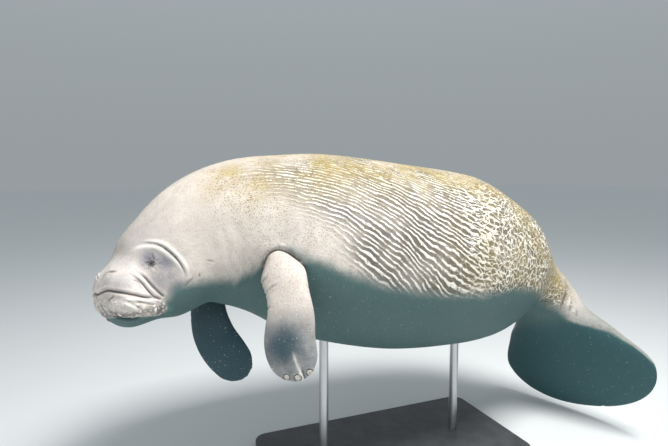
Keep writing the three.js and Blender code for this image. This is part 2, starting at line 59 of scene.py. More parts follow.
# The hide: thick, bare, wrinkled skin, one piece over the whole animal from the lip pads to the paddle's rim.
# It is shaped straight along X first, with the snout at x = 0 and the spine on the X axis, gets its folds
# there, and is then bent into the swimming pose. The flippers are joined to it further down.
MM = 0.001
LENGTH = 3.010
AT = np.array([0, 56, 122, 193, 310, 438, 692, 947, 1313, 1720, 2026, 2229, 2413, 2555, 2759, 3010]) * MM
HALF_WIDTH = np.array([110, 124, 131, 149, 192, 240, 322, 375, 407, 372, 298, 195, 200, 314, 431, 431]) * MM
ABOVE_SPINE = np.array([52, 77, 98, 146, 182, 230, 325, 384, 415, 445, 341, 156, 125, 82, 49, 26]) * MM
BELOW_SPINE = np.array([106, 140, 170, 214, 244, 298, 335, 423, 450, 406, 313, 168, 130, 82, 49, 26]) * MM
SQUARENESS = np.array([2.6, 2.6, 2.4, 2.2, 2.1, 2, 2, 2, 2, 2, 2, 2, 2, 1.8, 1.7, 1.7])
SNOUT_REACH, SNOUT_POWER = 0.060, 2.6
TAIL_REACH, TAIL_POWER = 0.280, 2.2
SNOUT_SLANT, SLANT_REACH = 0.16, 0.170
INSIDE = 0.0010  # of the hide, so that no fold of it stands outside the solid body

HIDE_COLUMNS = 130
HIDE_RINGS = 226
HEAD_STEP, TRUNK_STEP, TAIL_STEP = 0.0040, 0.0165, 0.0115
HEAD_BACK, TRUNK_FRONT, TAIL_FRONT = 0.28, 0.62, 2.75


def smooth(share):
    held = np.clip(share, 0, 1)
    return held * held * (3 - 2 * held)


def flow_through(at, values):
    """A measure along a body through its stations, by a cubic that never overshoots them."""
    step = np.diff(at)
    rise = np.diff(values) / step
    slope = np.concatenate([rise[:1], np.zeros(len(at) - 2), rise[-1:]])
    for i in range(1, len(at) - 1):
        before, after = rise[i - 1], rise[i]
        if before * after > 0:
            wa, wb = 2 * step[i] + step[i - 1], step[i] + 2 * step[i - 1]
            slope[i] = (wa + wb) / (wa / before + wb / after)

    def measure(x):
        held = np.clip(x, at[0], at[-1])
        i = np.clip(np.searchsorted(at, held, side="left"), 1, len(at) - 1) - 1
        h = step[i]
        t = (held - at[i]) / h
        ends = values[i] * (1 + 2 * t) * (1 - t) ** 2 + values[i + 1] * t * t * (3 - 2 * t)
        return ends + h * (slope[i] * t * (1 - t) ** 2 - slope[i + 1] * t * t * (1 - t))

    return measure


half_width = flow_through(AT, HALF_WIDTH)
above_spine = flow_through(AT, ABOVE_SPINE)
below_spine = flow_through(AT, BELOW_SPINE)
squareness = flow_through(AT, SQUARENESS)


def plain_hide(x, angle):
    """The plain straight body at a distance behind the snout and an angle from its right side upwards."""
    x, angle = np.broadcast_arrays(np.asarray(x, float), np.asarray(angle, float))
    from_snout = np.minimum(1, x / SNOUT_REACH)
    from_tail = np.minimum(1, (LENGTH - x) / TAIL_REACH)
    full = (1 - (1 - from_snout) ** SNOUT_POWER) ** (1 / SNOUT_POWER)
    full = full * (1 - (1 - from_tail) ** TAIL_POWER) ** (1 / TAIL_POWER)
    c, s = np.cos(angle), np.sin(angle)
    power = 2 / squareness(x)
    depth = np.where(s >= 0, above_spine(x), below_spine(x))
    height = np.maximum(0, depth * full - INSIDE) * np.sign(s) * np.abs(s) ** power
    width = np.maximum(0, half_width(x) * full - INSIDE) * np.sign(c) * np.abs(c) ** power
    return np.stack([x + SNOUT_SLANT * height * (1 - smooth(x / SLANT_REACH)), width, height], -1)


def even_stations(rings):
    """Where the rings stand, close together on the head and round the ends, wider on the trunk."""
    share = np.linspace(0, 1, 6001)
    x = LENGTH * smooth(share)
    around = np.radians(np.arange(0, 360, 15))
    line = plain_hide(x[:, None], around[None, :])
    run = np.linalg.norm(np.diff(line, axis=0), axis=2).mean(1)
    middle = (x[1:] + x[:-1]) / 2
    step = HEAD_STEP + (TRUNK_STEP - HEAD_STEP) * smooth((middle - HEAD_BACK) / (TRUNK_FRONT - HEAD_BACK))
    step = step + (TAIL_STEP - TRUNK_STEP) * smooth((middle - TAIL_FRONT) / (LENGTH - TAIL_FRONT))
    counted = np.concatenate([[0], np.cumsum(run / step)])
    return np.interp(np.linspace(0, counted[-1], rings + 1), counted, x)


def even_columns(stations, columns):
    """For each ring the angles that part its outline into equal lengths, from the middle of the belly."""
    fine = np.radians(np.linspace(-90, 270, 1441))
    outline = plain_hide(stations[:, None], fine[None, :])
    run = np.linalg.norm(np.diff(outline, axis=1), axis=2)
    round_it = np.concatenate([np.zeros((len(stations), 1)), np.cumsum(run, axis=1)], axis=1)
    angles = np.empty((len(stations), columns))
    shares = np.arange(columns) / columns
    for i, lengths in enumerate(round_it):
        angles[i] = np.interp(shares * lengths[-1], lengths, fine) if lengths[-1] > 1e-6 else fine[0]
    return angles


def new_sphere(name, columns, rings, radius=1.0, place=(0, 0, 0)):
    bpy.ops.object.select_all(action="DESELECT")
    bpy.ops.mesh.primitive_uv_sphere_add(segments=columns, ring_count=rings, radius=radius, location=place)
    piece = bpy.context.object
    piece.name = piece.data.name = name
    return piece


def wrapped_sphere(name, columns, rings, table):
    """A closed piece from a sphere, whose rings and columns of points are moved to a table of places."""
    piece = new_sphere(name, columns, rings)
    unit = places_of(piece)
    ring = np.rint(np.arccos(np.clip(unit[:, 2], -1, 1)) / np.pi * rings).astype(int)
    column = np.rint(np.arctan2(unit[:, 0], unit[:, 1]) / (2 * np.pi) * columns).astype(int) % columns
    move_to(piece, table[ring, column])
    return piece, ring, column


def places_of(piece):
    flat = np.empty(len(piece.data.vertices) * 3, np.float32)
    piece.data.vertices.foreach_get("co", flat)
    return flat.reshape(-1, 3).astype(float)


def normals_of(piece):
    flat = np.empty(len(piece.data.vertices) * 3, np.float32)
    piece.data.vertex_normals.foreach_get("vector", flat)
    return flat.reshape(-1, 3).astype(float)


def move_to(piece, places):
    piece.data.vertices.foreach_set("co", np.asarray(places, np.float32).ravel())
    piece.data.update()


def split_finer(piece, chosen):
    """Splits the faces whose middles are chosen into four."""
    mesh = piece.data
    middles = np.empty(len(mesh.polygons) * 3, np.float32)
    mesh.polygons.foreach_get("center", middles)
    mesh.vertices.foreach_set("select", np.zeros(len(mesh.vertices), bool))
    mesh.edges.foreach_set("select", np.zeros(len(mesh.edges), bool))
    mesh.polygons.foreach_set("select", chosen(middles.reshape(-1, 3)))
    bpy.context.view_layer.objects.active = piece
    bpy.ops.object.mode_set(mode="EDIT")
    bpy.ops.mesh.select_mode(type="FACE")
    bpy.ops.mesh.subdivide(number_cuts=1)
    bpy.ops.object.mode_set(mode="OBJECT")


stations = even_stations(HIDE_RINGS)
plain_places = plain_hide(stations[:, None], even_columns(stations, HIDE_COLUMNS))
hide = wrapped_sphere("hide", HIDE_COLUMNS, HIDE_RINGS, plain_places)[0]

# The face: two lip pads with a cleft between them under an arched fold, double folds on the cheek, a ridge
# that sweeps down behind the eye, closed nostrils, and the eye in a shallow hollow. Places are in
# millimetres on the straight head's left side; the right side mirrors it.
EYE_AT = np.array([180, 128, 27]) * MM
EYE_BALL = 0.011
LID_SPHERE = 0.0135
EYE_LOOK = np.array([-0.25, 1, 0.12]) / math.hypot(0.25, 1, 0.12)
EYE_TILT = math.radians(-8)
EYE_REACH = 0.045
FACE_REACH, FACE_TOP, FACE_UNDER, FACE_UNDER_SLOPE = 0.150, 0.095, -0.142, -0.1


def mirrored(points):
    return np.stack([points[:, 0], np.abs(points[:, 1]), points[:, 2]], -1)


def away_from(points, place):
    return np.linalg.norm(points - place, axis=1)



def on_face_of(points):
    x, _, z = points.T
    return (x < FACE_REACH) & (z < FACE_TOP) & (z > FACE_UNDER + FACE_UNDER_SLOPE * x)


split_finer(hide, on_face_of)
for reach in (EYE_REACH, 0.019):
    split_finer(hide, lambda p: away_from(mirrored(p), EYE_AT + EYE_LOOK * EYE_BALL) < reach)


def curve_through(points, steps=8):
    """Points along a smooth line through a few, the same line as a centripetal Catmull-Rom curve."""
    known = np.asarray(points, float)
    known = np.vstack([2 * known[0] - known[1], known, 2 * known[-1] - known[-2]])
    made = []
    for i in range(1, len(known) - 2):
        p0, p1, p2, p3 = known[i - 1 : i + 3]
        d0, d1, d2 = (max(np.linalg.norm(b - a) ** 0.5, 1e-6) for a, b in ((p0, p1), (p1, p2), (p2, p3)))
        out = ((p1 - p0) / d0 - (p2 - p0) / (d0 + d1) + (p2 - p1) / d1) * d1
        into = ((p2 - p1) / d1 - (p3 - p1) / (d1 + d2) + (p3 - p2) / d2) * d1
        for t in np.arange(steps) / steps:
            bend = -3 * p1 + 3 * p2 - 2 * out - into
            made.append(p1 + out * t + bend * t * t + (2 * p1 - 2 * p2 + out + into) * t**3)
    return np.vstack([made, known[-2]])


def distance_to(points, line):
    """How far points are from a line and how far along it, and infinity for those well away from it."""
    least = np.full(len(points), np.inf)
    share = np.zeros(len(points))
    low, high = line.min(0) - 0.05, line.max(0) + 0.05
    close = np.flatnonzero(((points > low) & (points < high)).all(1))
    some = points[close]
    nearest = np.full(len(close), np.inf)
    reached = np.zeros(len(close))
    for i, (a, b) in enumerate(zip(line[:-1], line[1:])):
        run = b - a
        t = np.clip(((some - a) @ run) / (run @ run), 0, 1)
        away = np.linalg.norm(some - a - t[:, None] * run, axis=1)
        reached = np.where(away < nearest, (i + t) / (len(line) - 1), reached)
        nearest = np.minimum(nearest, away)
    least[close], share[close] = nearest, reached
    return least, share


def bump(distance, width):
    return np.exp(-((distance / width) ** 2))


# Swellings and hollows: where, how far they reach and how high they stand.
MOUNDS = [
    ([2, 34, -14], 21, 6),
    ([12, 82, -24], 25, 9),
    ([33, 108, -42], 25, 9),
    ([56, 116, -62], 24, 8),
    ([82, 114, -86], 22, 8),
    ([108, 104, -112], 17, 6),
    ([146, 88, -157], 17, 10),
    ([60, 50, 76], 24, 4),
    ([186, 143, 40], 48, -9),
    ([3, 16, 6], 11, 5),
    ([78, 124, 0], 26, 3),
]
# Folds: whether they start and end softly, how deep they are pressed in, or raised where that is below zero,
# how wide they are, and their line. The last five lie at the tail root.
FOLDS = {
    "arch over the lips": (0, 1, 8, 4.5, [
        [8, 0, 27], [14, 52, 32], [21, 80, 30], [29, 105, 17], [44, 120, 0], [67, 125, -26],
        [93, 124, -56], [118, 122, -77], [137, 120, -94],
    ]),
    "mouth": (0, 1, 12, 5, [
        [-10, 0, -58], [0, 60, -64], [20, 90, -90], [48, 104, -106], [96, 102, -127], [134, 96, -138],
    ]),
    "between the lips": (0, 1, 7, 6, [[6, 0, 22], [-4, 0, -20], [-9, 0, -60]]),
    "front cheek fold": (1, 0, 6, 3.5, [
        [99, 122, 36], [106, 129, 13], [111, 130, -10], [113, 129, -36], [118, 125, -67], [132, 121, -92],
    ]),
    "rear cheek fold": (1, 0, 6, 3.5, [
        [121, 128, 30], [129, 132, 0], [132, 132, -30], [137, 130, -60], [146, 124, -91],
    ]),
    "roll between the cheek folds": (1, 1, -4, 5, [
        [108, 124, 34], [117, 130, 0], [121, 130, -36], [129, 126, -73],
    ]),
    "cheek bar": (1, 1, 3.5, 3.5, [[94, 128, 16], [100, 128, 8], [106, 129, -16]]),
    "cheek pocket": (1, 1, -3, 6, [[79, 127, 6], [89, 127, -26], [104, 126, -54]]),
    "roll under the arch": (1, 1, -3.5, 4.5, [
        [30, 112, -6], [46, 121, -26], [70, 125, -48], [98, 121, -76], [122, 117, -96],
    ]),
    "crease under the roll": (1, 1, 4.5, 3, [
        [46, 120, -40], [77, 122, -64], [98, 118, -88], [118, 111, -107],
    ]),
    "slanting roll of the pad": (1, 1, -4, 5, [
        [30, 112, -22], [38, 118, -42], [46, 117, -62], [57, 108, -92],
    ]),
    "slanting crease of the pad": (1, 1, 3.5, 3.5, [
        [36, 116, -22], [46, 119, -42], [55, 117, -62], [66, 108, -90],
    ]),
    "slit of the front pad": (1, 1, 3.5, 2.5, [[3, 60, -4], [13, 84, 3], [23, 101, 6]]),
    "groove of the front pad": (1, 1, 5, 4, [[-2, 12, -14], [0, 40, -16], [-1, 48, -36], [-3, 44, -56]]),
    "ridge behind the eye": (1, 1, -5, 8, [
        [148, 76, 98], [160, 98, 97], [177, 112, 94], [198, 129, 83], [215, 146, 63], [227, 158, 28],
        [236, 163, -15], [236, 161, -49], [226, 151, -88],
    ]),
    "crease behind the ridge": (1, 1, 4.5, 3.2, [
        [186, 92, 107], [213, 133, 87], [230, 152, 62], [241, 163, 22], [246, 167, -16], [245, 163, -54],
        [238, 156, -80],
    ]),
    "second ridge": (1, 1, -4, 7, [
        [196, 92, 108], [220, 133, 92], [240, 152, 68], [252, 165, 26], [257, 170, -15], [256, 166, -57],
        [248, 156, -92],
    ]),
    "nostril": (1, 1, 8, 3, [[48, 22, 68], [53, 34, 71], [64, 52, 75], [72, 72, 72], [79, 88, 68]]),
    "corner of the lower lip": (1, 1, 3.5, 3.5, [
        [128, 98, -144], [140, 99, -149], [150, 92, -158], [158, 74, -176],
    ]),
    "behind the ear": (1, 1, 3, 3, [[324, 190, -70], [338, 193, -82], [351, 195, -93]]),
    "throat fold": (1, 1, 3, 5, [[221, 142, -112], [240, 151, -104], [262, 160, -100]]),
    "crease at the tail root": (1, 1, 7, 7, [
        [2292, 202, -2], [2311, 190, -36], [2328, 177, -64], [2361, 151, -91],
    ]),
    "line behind it": (1, 1, -5, 6, [[2326, 197, -16], [2349, 187, -44], [2378, 168, -72]]),
    "second line behind it": (1, 1, -4, 6, [[2380, 197, -26], [2403, 186, -48], [2428, 170, -66]]),
    "crease between the lines": (1, 1, 3.5, 4, [[2352, 199, -18], [2376, 187, -46], [2404, 169, -70]]),
    "last crease": (1, 1, 3, 4, [[2408, 200, -24], [2430, 188, -46], [2452, 176, -60]]),
}
EAR_AT = np.array([283, 164, -106]) * MM
NICK_AT = np.array([3002, -61, -6]) * MM  # in the paddle's rim
LIP_LINE = [
    [-4, 14, -48], [-2, 46, -54], [5, 70, -68], [20, 88, -84], [42, 103, -94], [60, 104, -104],
    [84, 100, -116], [104, 94, -124],
]
LIP_EDGE = curve_through(np.array(LIP_LINE) * MM, 2)
PAD_LUMPS = 34  # small lumps and dents of the lip pads, strewn at random
random = np.random.default_rng(7)


FAINTEST, SOFT_SHARE = 0.12, 0.3  # how strong a soft end stays, and over which share of the line it fades


def face_relief(points):
    """How far points stand out of the plain head, and how deep in a crease or high on a ridge they are, which
    set the painted shade of the creases and the painted highlight of the ridges.
    """
    left = mirrored(points)
    lift, groove, ridge = np.zeros((3, len(points)))
    for at, reach, rise in MOUNDS:
        lift += rise * MM * bump(away_from(left, np.array(at) * MM), reach * MM)
    for soft_start, soft_end, depth, width, line in FOLDS.values():
        away, share = distance_to(left, curve_through(np.array(line) * MM))
        start = smooth(share / SOFT_SHARE) if soft_start else 1
        end = smooth((1 - share) / SOFT_SHARE) if soft_end else 1
        strength = FAINTEST + (1 - FAINTEST) * start * end
        pressed = bump(away, width * MM) * strength
        lift -= depth * MM * pressed
        if depth > 0:
            lift += 0.3 * depth * MM * bump(away - 2.2 * width * MM, 1.3 * width * MM) * strength
            groove = np.maximum(groove, bump(away, 0.8 * width * MM) * strength * min(1, depth / 5))
        else:
            ridge = np.maximum(ridge, pressed)
    for i, at in enumerate(LIP_EDGE):
        knob = bump(away_from(left, at), (4.6 + 0.8 * (i % 3)) * MM)
        lift += (3.4 + 1.6 * (i % 2)) * MM * knob
        ridge = np.maximum(ridge, 0.8 * knob)
    for i in range(PAD_LUMPS):
        middle = np.array(MOUNDS[i % 6][0]) + random.uniform(-13, 13, 3)
        knob = bump(away_from(left, middle * MM), random.uniform(5, 10) * MM)
        rise = random.uniform(-3.2, 3.6)
        lift += rise * MM * knob
        groove = np.maximum(groove, 0.4 * knob * max(0, -rise) / 3.2)
        ridge = np.maximum(ridge, 0.5 * knob * max(0, rise) / 3.2)
    ear_pit = bump(away_from(left, EAR_AT), 4 * MM)
    lift -= 4 * MM * ear_pit
    lift -= 9 * MM * bump(np.linalg.norm((points - NICK_AT) / [1, 1, 3], axis=1), 8 * MM)
    groove = np.maximum(groove, ear_pit)
    return lift * smooth(points[:, 0] / (5 * MM) + 0.6), groove, ridge


for *_, line in FOLDS.values():
    reaches = [0.030] if line[0][0] > 2000 else [0.011] if max(line)[0] > 170 else []
    for reach in reaches:
        split_finer(hide, lambda p: distance_to(mirrored(p), curve_through(np.array(line) * MM))[0] < reach)
for reach in (0.035, 0.022):
    split_finer(hide, lambda p: away_from(p, NICK_AT) < reach)
straight = places_of(hide)
lift, groove, ridge = face_relief(straight)
on_face = straight + normals_of(hide) * lift[:, None]


# Fine folds round the eye: how strong, how many, where they start and how they curl outwards.
EYE_FOLDS = [(0.5, 7, 1, 180), (0.4, 12, 2.6, -140), (0.4, 19, 0.4, 320)]
EYE_FOLD_HEIGHT = 0.0026
OPENING_HALF_LONG, OPENING_HALF_HIGH = 0.0095, 0.0052
LID_FOLD, OUTER_LID_FOLD = 0.0155, 0.021  # how far from the eye's middle


def open_lids(points):
    """Shapes the lids round each eyeball and the almond opening between them, with fine folds fanning out,
    and gives the painted shade of the lid folds and round the opening.
    """
    made = points.copy()
    shut = np.zeros(len(points))
    for sign in (-1, 1):
        look = EYE_LOOK * [1, sign, 1]
        corner = np.array([-math.cos(EYE_TILT), 0, math.sin(EYE_TILT)])
        corner -= look * (corner @ look)
        corner /= np.linalg.norm(corner)
        up = np.cross(look, corner) * sign
        away = points - EYE_AT * [1, sign, 1]
        a, b, h = away @ corner, away @ up, away @ look
        r = np.hypot(a, b)
        here = (r < EYE_REACH) & (h > 0)
        turn = np.arctan2(b, a)
        fan = 0.35 + 0.65 * bump(np.cos(turn) - 0.9 * np.sign(np.cos(turn)), 0.45)
        rays = sum(share * np.cos(many * turn + start + curl * r) for share, many, start, curl in EYE_FOLDS)
        rays = rays * smooth((r - 0.008) / 0.006) * fan * smooth((0.042 - r) / 0.025)
        ball = np.sqrt(np.maximum(0, LID_SPHERE**2 - r**2))
        height = h + EYE_FOLD_HEIGHT * rays
        height = height + (np.maximum(height, ball) - height) * smooth((0.018 - r) / 0.012)
        opening = OPENING_HALF_HIGH * (1 - (a / OPENING_HALF_LONG) ** 2)
        gap = smooth((opening - np.abs(b)) / 0.0016)
        inner = np.sqrt(np.maximum(0, (EYE_BALL - 0.0012) ** 2 - r**2))
        height = np.where(gap > 0, height + (inner - height) * gap, height)
        upper = smooth(b / 0.006)
        height = height - bump(r - LID_FOLD, 0.0015) * 0.0018 * (0.3 + 0.7 * upper)
        height = height - bump(r - OUTER_LID_FOLD, 0.0018) * 0.0014 * upper
        made[here] += (height - h)[here, None] * look
        dark = bump(r - LID_FOLD, 0.002) * 0.4 * upper + bump(r - 0.0075, 0.004) * 0.9
        dark = np.maximum(dark, 0.5 * np.clip(-rays, 0, 1))
        shut[here] = np.maximum(shut[here], dark[here])
    return made, shut


on_face, lid_dark = open_lids(on_face)
# The painted shade of the lid folds is added to that of the face's creases.
groove = np.maximum(groove, lid_dark)

# The pose: the spine bends at the neck and at the tail root, so that the head and the tail hang down, and the
# trunk is pitched and rolled about its middle. The eyes of the solid model say where that middle lies.
HEAD_BEND = {"from": 0.285, "to": 0.733, "down": 44.1, "left": 17.1}
TAIL_BEND = {"from": 1.883, "to": 2.545, "down": 56.2, "right": 5.1, "roll": -3.6}
TRUNK_NOSE_UP, TRUNK_ROLL = 11, 17.5
POSE_CENTRE = 1.120
SPINE_STEP = 0.005


def spine_frames(x):
    head = 1 - smooth((x - HEAD_BEND["from"]) / (HEAD_BEND["to"] - HEAD_BEND["from"]))
    tail = smooth((x - TAIL_BEND["from"]) / (TAIL_BEND["to"] - TAIL_BEND["from"]))
    pitch = np.radians(HEAD_BEND["down"] * head - TAIL_BEND["down"] * tail)
    turn = np.radians(HEAD_BEND["left"] * head + TAIL_BEND["right"] * tail)
    along = np.stack([np.cos(pitch) * np.cos(turn), np.cos(pitch) * np.sin(turn), np.sin(pitch)], -1)
    side = np.stack([-np.sin(turn), np.cos(turn), 0 * turn], -1)
    up = np.cross(along, side)
    roll = np.radians(TAIL_BEND["roll"] * tail)[:, None]
    return along, side * np.cos(roll) + up * np.sin(roll), up * np.cos(roll) - side * np.sin(roll)


spine_at = np.arange(0, LENGTH + SPINE_STEP / 2, SPINE_STEP)
spine_along, spine_side, spine_up = spine_frames(spine_at)
between = spine_frames(spine_at + SPINE_STEP / 2)[0]
spine_place = np.vstack([np.zeros(3), np.cumsum(between[:-1] * SPINE_STEP, 0)])
spine_place -= spine_place[round(POSE_CENTRE / SPINE_STEP)]
attitude = np.array(
    Matrix.Rotation(math.radians(TRUNK_NOSE_UP), 3, "Y") @ Matrix.Rotation(-math.radians(TRUNK_ROLL), 3, "X")
)


def pose(points):
    at = np.clip(points[:, 0], 0, LENGTH)
    i = np.minimum(len(spine_at) - 2, (at / SPINE_STEP).astype(int))
    t = (at / SPINE_STEP - i)[:, None]
    place, along, side, up = (
        rows[i] * (1 - t) + rows[i + 1] * t for rows in (spine_place, spine_along, spine_side, spine_up)
    )
    bent = place + along * (points[:, 0] - at)[:, None] + side * points[:, 1:2] + up * points[:, 2:3]
    return bent @ attitude.T


eye_places = pose(np.array([EYE_AT * [1, sign, 1] for sign in (-1, 1)]))
solid_eyes = [np.add(*map(np.array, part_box(name))) / 2 for name in ("eye_left", "eye_right")]
centre = (np.array(solid_eyes) - eye_places).mean(0)


def set_mark(piece, name, values):
    """Keeps a number or a direction for each point of a piece, for its finish to read."""
    kind, key = ("FLOAT", "value") if values.ndim == 1 else ("FLOAT_VECTOR", "vector")
    mark = piece.data.attributes.get(name) or piece.data.attributes.new(name, kind, "POINT")
    mark.data.foreach_set(key, values.astype(np.float32).ravel())


def mark_on(piece, name):
    mark = piece.data.attributes[name]
    size, key = (1, "value") if mark.data_type == "FLOAT" else (3, "vector")
    values = np.empty(len(mark.data) * size, np.float32)
    mark.data.foreach_get(key, values)
    return values.astype(float) if size == 1 else values.reshape(-1, 3).astype(float)


move_to(hide, pose(straight) + centre)
set_mark(hide, "facing_up", normals_of(hide)[:, 2])
set_mark(hide, "straight", straight)
# How much painted shade falls in each crease and how much painted highlight each ridge gets.
set_mark(hide, "creased", groove)
set_mark(hide, "ridged", ridge)
move_to(hide, pose(on_face) + centre)

# The flippers: a short upper arm and a flat hand with a stiff front edge, bones and flesh in the same hide.
# Each is laid along a line through its joints, gets its finger lines, elbow creases and nail beds, and is
# joined to the trunk's hide in a crease round the shoulder.
FLIPPER_AT = np.array([0, 0.10, 0.22, 0.38, 0.6, 0.75, 1])
FLIPPER_HALF = flow_through(FLIPPER_AT, np.array([40, 56, 83, 77, 87, 91, 72]) * MM)
FLIPPER_OUTER = flow_through(FLIPPER_AT, np.array([56, 57, 49, 37, 25, 19, 11]) * MM)
FLIPPER_INNER = flow_through(FLIPPER_AT, np.array([46, 46, 44, 35, 23, 17, 10]) * MM)
FLIPPER_SQUARE = flow_through(FLIPPER_AT, np.array([2, 2, 2, 2, 2, 1.9, 1.9]))
FLIPPER_ROUND = 0.076
FLIPPER_RINGS, ROUND_RINGS, FLIPPER_COLUMNS = 88, 14, 64
FLIPPERS = {
    "left": {
        "joints": [
            [-402, -262, 16], [-399, -367, -62], [-399, -432, -160], [-408, -455, -275], [-376, -474, -397],
        ],
        "across": [0.926, -0.378, 0],
        "mirror": 1,
    },
    "right": {
        "joints": [
            [-518, 176, -73], [-605, 88, -212], [-614, 38, -282], [-592, -12, -368], [-489, -90, -514],
        ],
        "across": [0.86, -0.35, 0.37],
        "mirror": -1,
    },
}
FINGERS = (-54, -20, 48)  # millimetres across the hand, where its longer bones show
# Creases across the outer face: share of the length, slope, from and to across, and depth.
ELBOW_CREASES = [
    (0.29, 0.30, -95, -30, 4),
    (0.22, 0.15, -95, -56, 4),
    (0.40, 0.35, -95, -62, 3.5),
    (0.34, -0.1, 64, 95, 2),
]
# Nails: how far before the tip, how far across, half as long and half as wide, in millimetres.
NAILS = [(30, -42, 10, 9), (15, -6, 11, 11), (19, 38, 11, 10)]


class Flipper:
    """A flipper's line and its directions across and out of its outer face, by the share of its length."""

    def __init__(self, joints, across, mirror):
        self.line = curve_through(np.array(joints) * MM, 100)
        run = np.linalg.norm(np.diff(self.line, axis=0), axis=1)
        self.run = np.concatenate([[0], np.cumsum(run)])
        self.length = self.run[-1]
        self.across = np.array(across) * mirror
        self.mirror = mirror

    def frame(self, share):
        """A place on the line, and the directions along it, across the hand and out of its outer face."""

        def place_at(run):
            return np.stack([np.interp(run, self.run, self.line[:, k]) for k in range(3)], -1)

        at = share * self.length
        ahead = place_at(at + 0.002) - place_at(at - 0.002)
        along = ahead / np.linalg.norm(ahead, axis=-1, keepdims=True)
        side = self.across - along * (along @ self.across)[..., None]
        side = side / np.linalg.norm(side, axis=-1, keepdims=True)
        return place_at(at) + centre, along, side, np.cross(along, side)

    def outer_skin(self, share, off):
        """A place on the outer face, and the direction out of it there."""
        places = []
        for at in (share - 0.01, share, share + 0.01):
            here, _, side, face = (v[0] for v in self.frame(np.array([at])))
            full = float(self.rounding(at))
            lean = math.sqrt(max(0, 1 - (off / (float(FLIPPER_HALF(at)) * full)) ** 2))
            thick = float(FLIPPER_OUTER(at)) * full**0.6
            places.append(here + side * off * self.mirror + face * thick * lean)
        ahead = places[2] - places[0]
        ahead /= np.linalg.norm(ahead)
        out = np.cross(ahead, side)
        return places[1], ahead, side, out / np.linalg.norm(out)

    def stand_off(self, points):
        """How far points stand off the flipper's surface, and how far round to its outer face they are."""
        away, index = distance_to(points, self.line[::10] + centre)
        close = np.flatnonzero(away < 0.15)
        steps = len(self.line[::10]) - 1
        share = np.interp(index[close] * steps, np.arange(steps + 1), self.run[::10]) / self.length
        here, _, side, face = self.frame(share)
        off = ((points[close] - here) * side).sum(-1)
        out = ((points[close] - here) * face).sum(-1)
        thick = np.where(out >= 0, FLIPPER_OUTER(share), FLIPPER_INNER(share))
        radius = np.hypot(off / FLIPPER_HALF(share), out / thick)
        gap, round_to = np.full(len(points), np.inf), np.zeros(len(points))
        gap[close] = np.hypot(off, out) * (1 - 1 / np.maximum(radius, 1e-3))
        round_to[close] = out / np.maximum(np.hypot(off, out), 1e-6)
        return gap, round_to

    def rounding(self, share):
        left = np.clip((1 - share) * self.length / FLIPPER_ROUND, 0, 1)
        return np.sqrt(1 - (1 - left) ** 2)


# What is known of each point: where it lies on the straight body, how it faces, the painted shade of its
# creases, the painted highlight of its ridges, and how far along a flipper and how deep in the painted shade
# on its hand it lies.
MARKS = ("straight", "facing_up", "creased", "ridged", "limb", "along_limb", "bruised")
known = {name: [] for name in ("place", *MARKS)}


def remember(piece, **more):
    """Keeps the places and marks of a piece's points, which joining the pieces loses."""
    for name, values in {"place": places_of(piece), **more}.items():
        known[name].append(values)


CREASE_DEPTH, CREASE_WIDTH, PUFF = 0.010, 0.008, 0.003
flippers = {name: Flipper(**made) for name, made in FLIPPERS.items()}
for limb in flippers.values():
    split_finer(hide, lambda p: distance_to(p, limb.line[:160] + centre)[0] < 0.122)
    split_finer(hide, lambda p: distance_to(p, limb.line[:140] + centre)[0] < 0.102)
pressed = mark_on(hide, "creased")
for limb in flippers.values():
    gap, round_to = limb.stand_off(places_of(hide))
    outside = np.maximum(gap, 0)
    here = smooth((round_to + 0.75) / 0.7)
    dent = here * bump(outside, CREASE_WIDTH)
    puff = here * bump(outside - 3 * CREASE_WIDTH, 1.6 * CREASE_WIDTH)
    move_to(hide, places_of(hide) + normals_of(hide) * (PUFF * puff - CREASE_DEPTH * dent)[:, None])
    # A painted shade along the crease round the shoulder.
    pressed = np.maximum(pressed, here * bump(outside, 0.6 * CREASE_WIDTH))
set_mark(hide, "creased", pressed)
plain_marks = {name: mark_on(hide, name) for name in ("straight", "facing_up", "creased", "ridged")}
bare = np.zeros(len(hide.data.vertices))
remember(hide, **plain_marks, limb=bare, along_limb=bare, bruised=bare)
for mark in plain_marks:
    hide.data.attributes.remove(hide.data.attributes[mark])
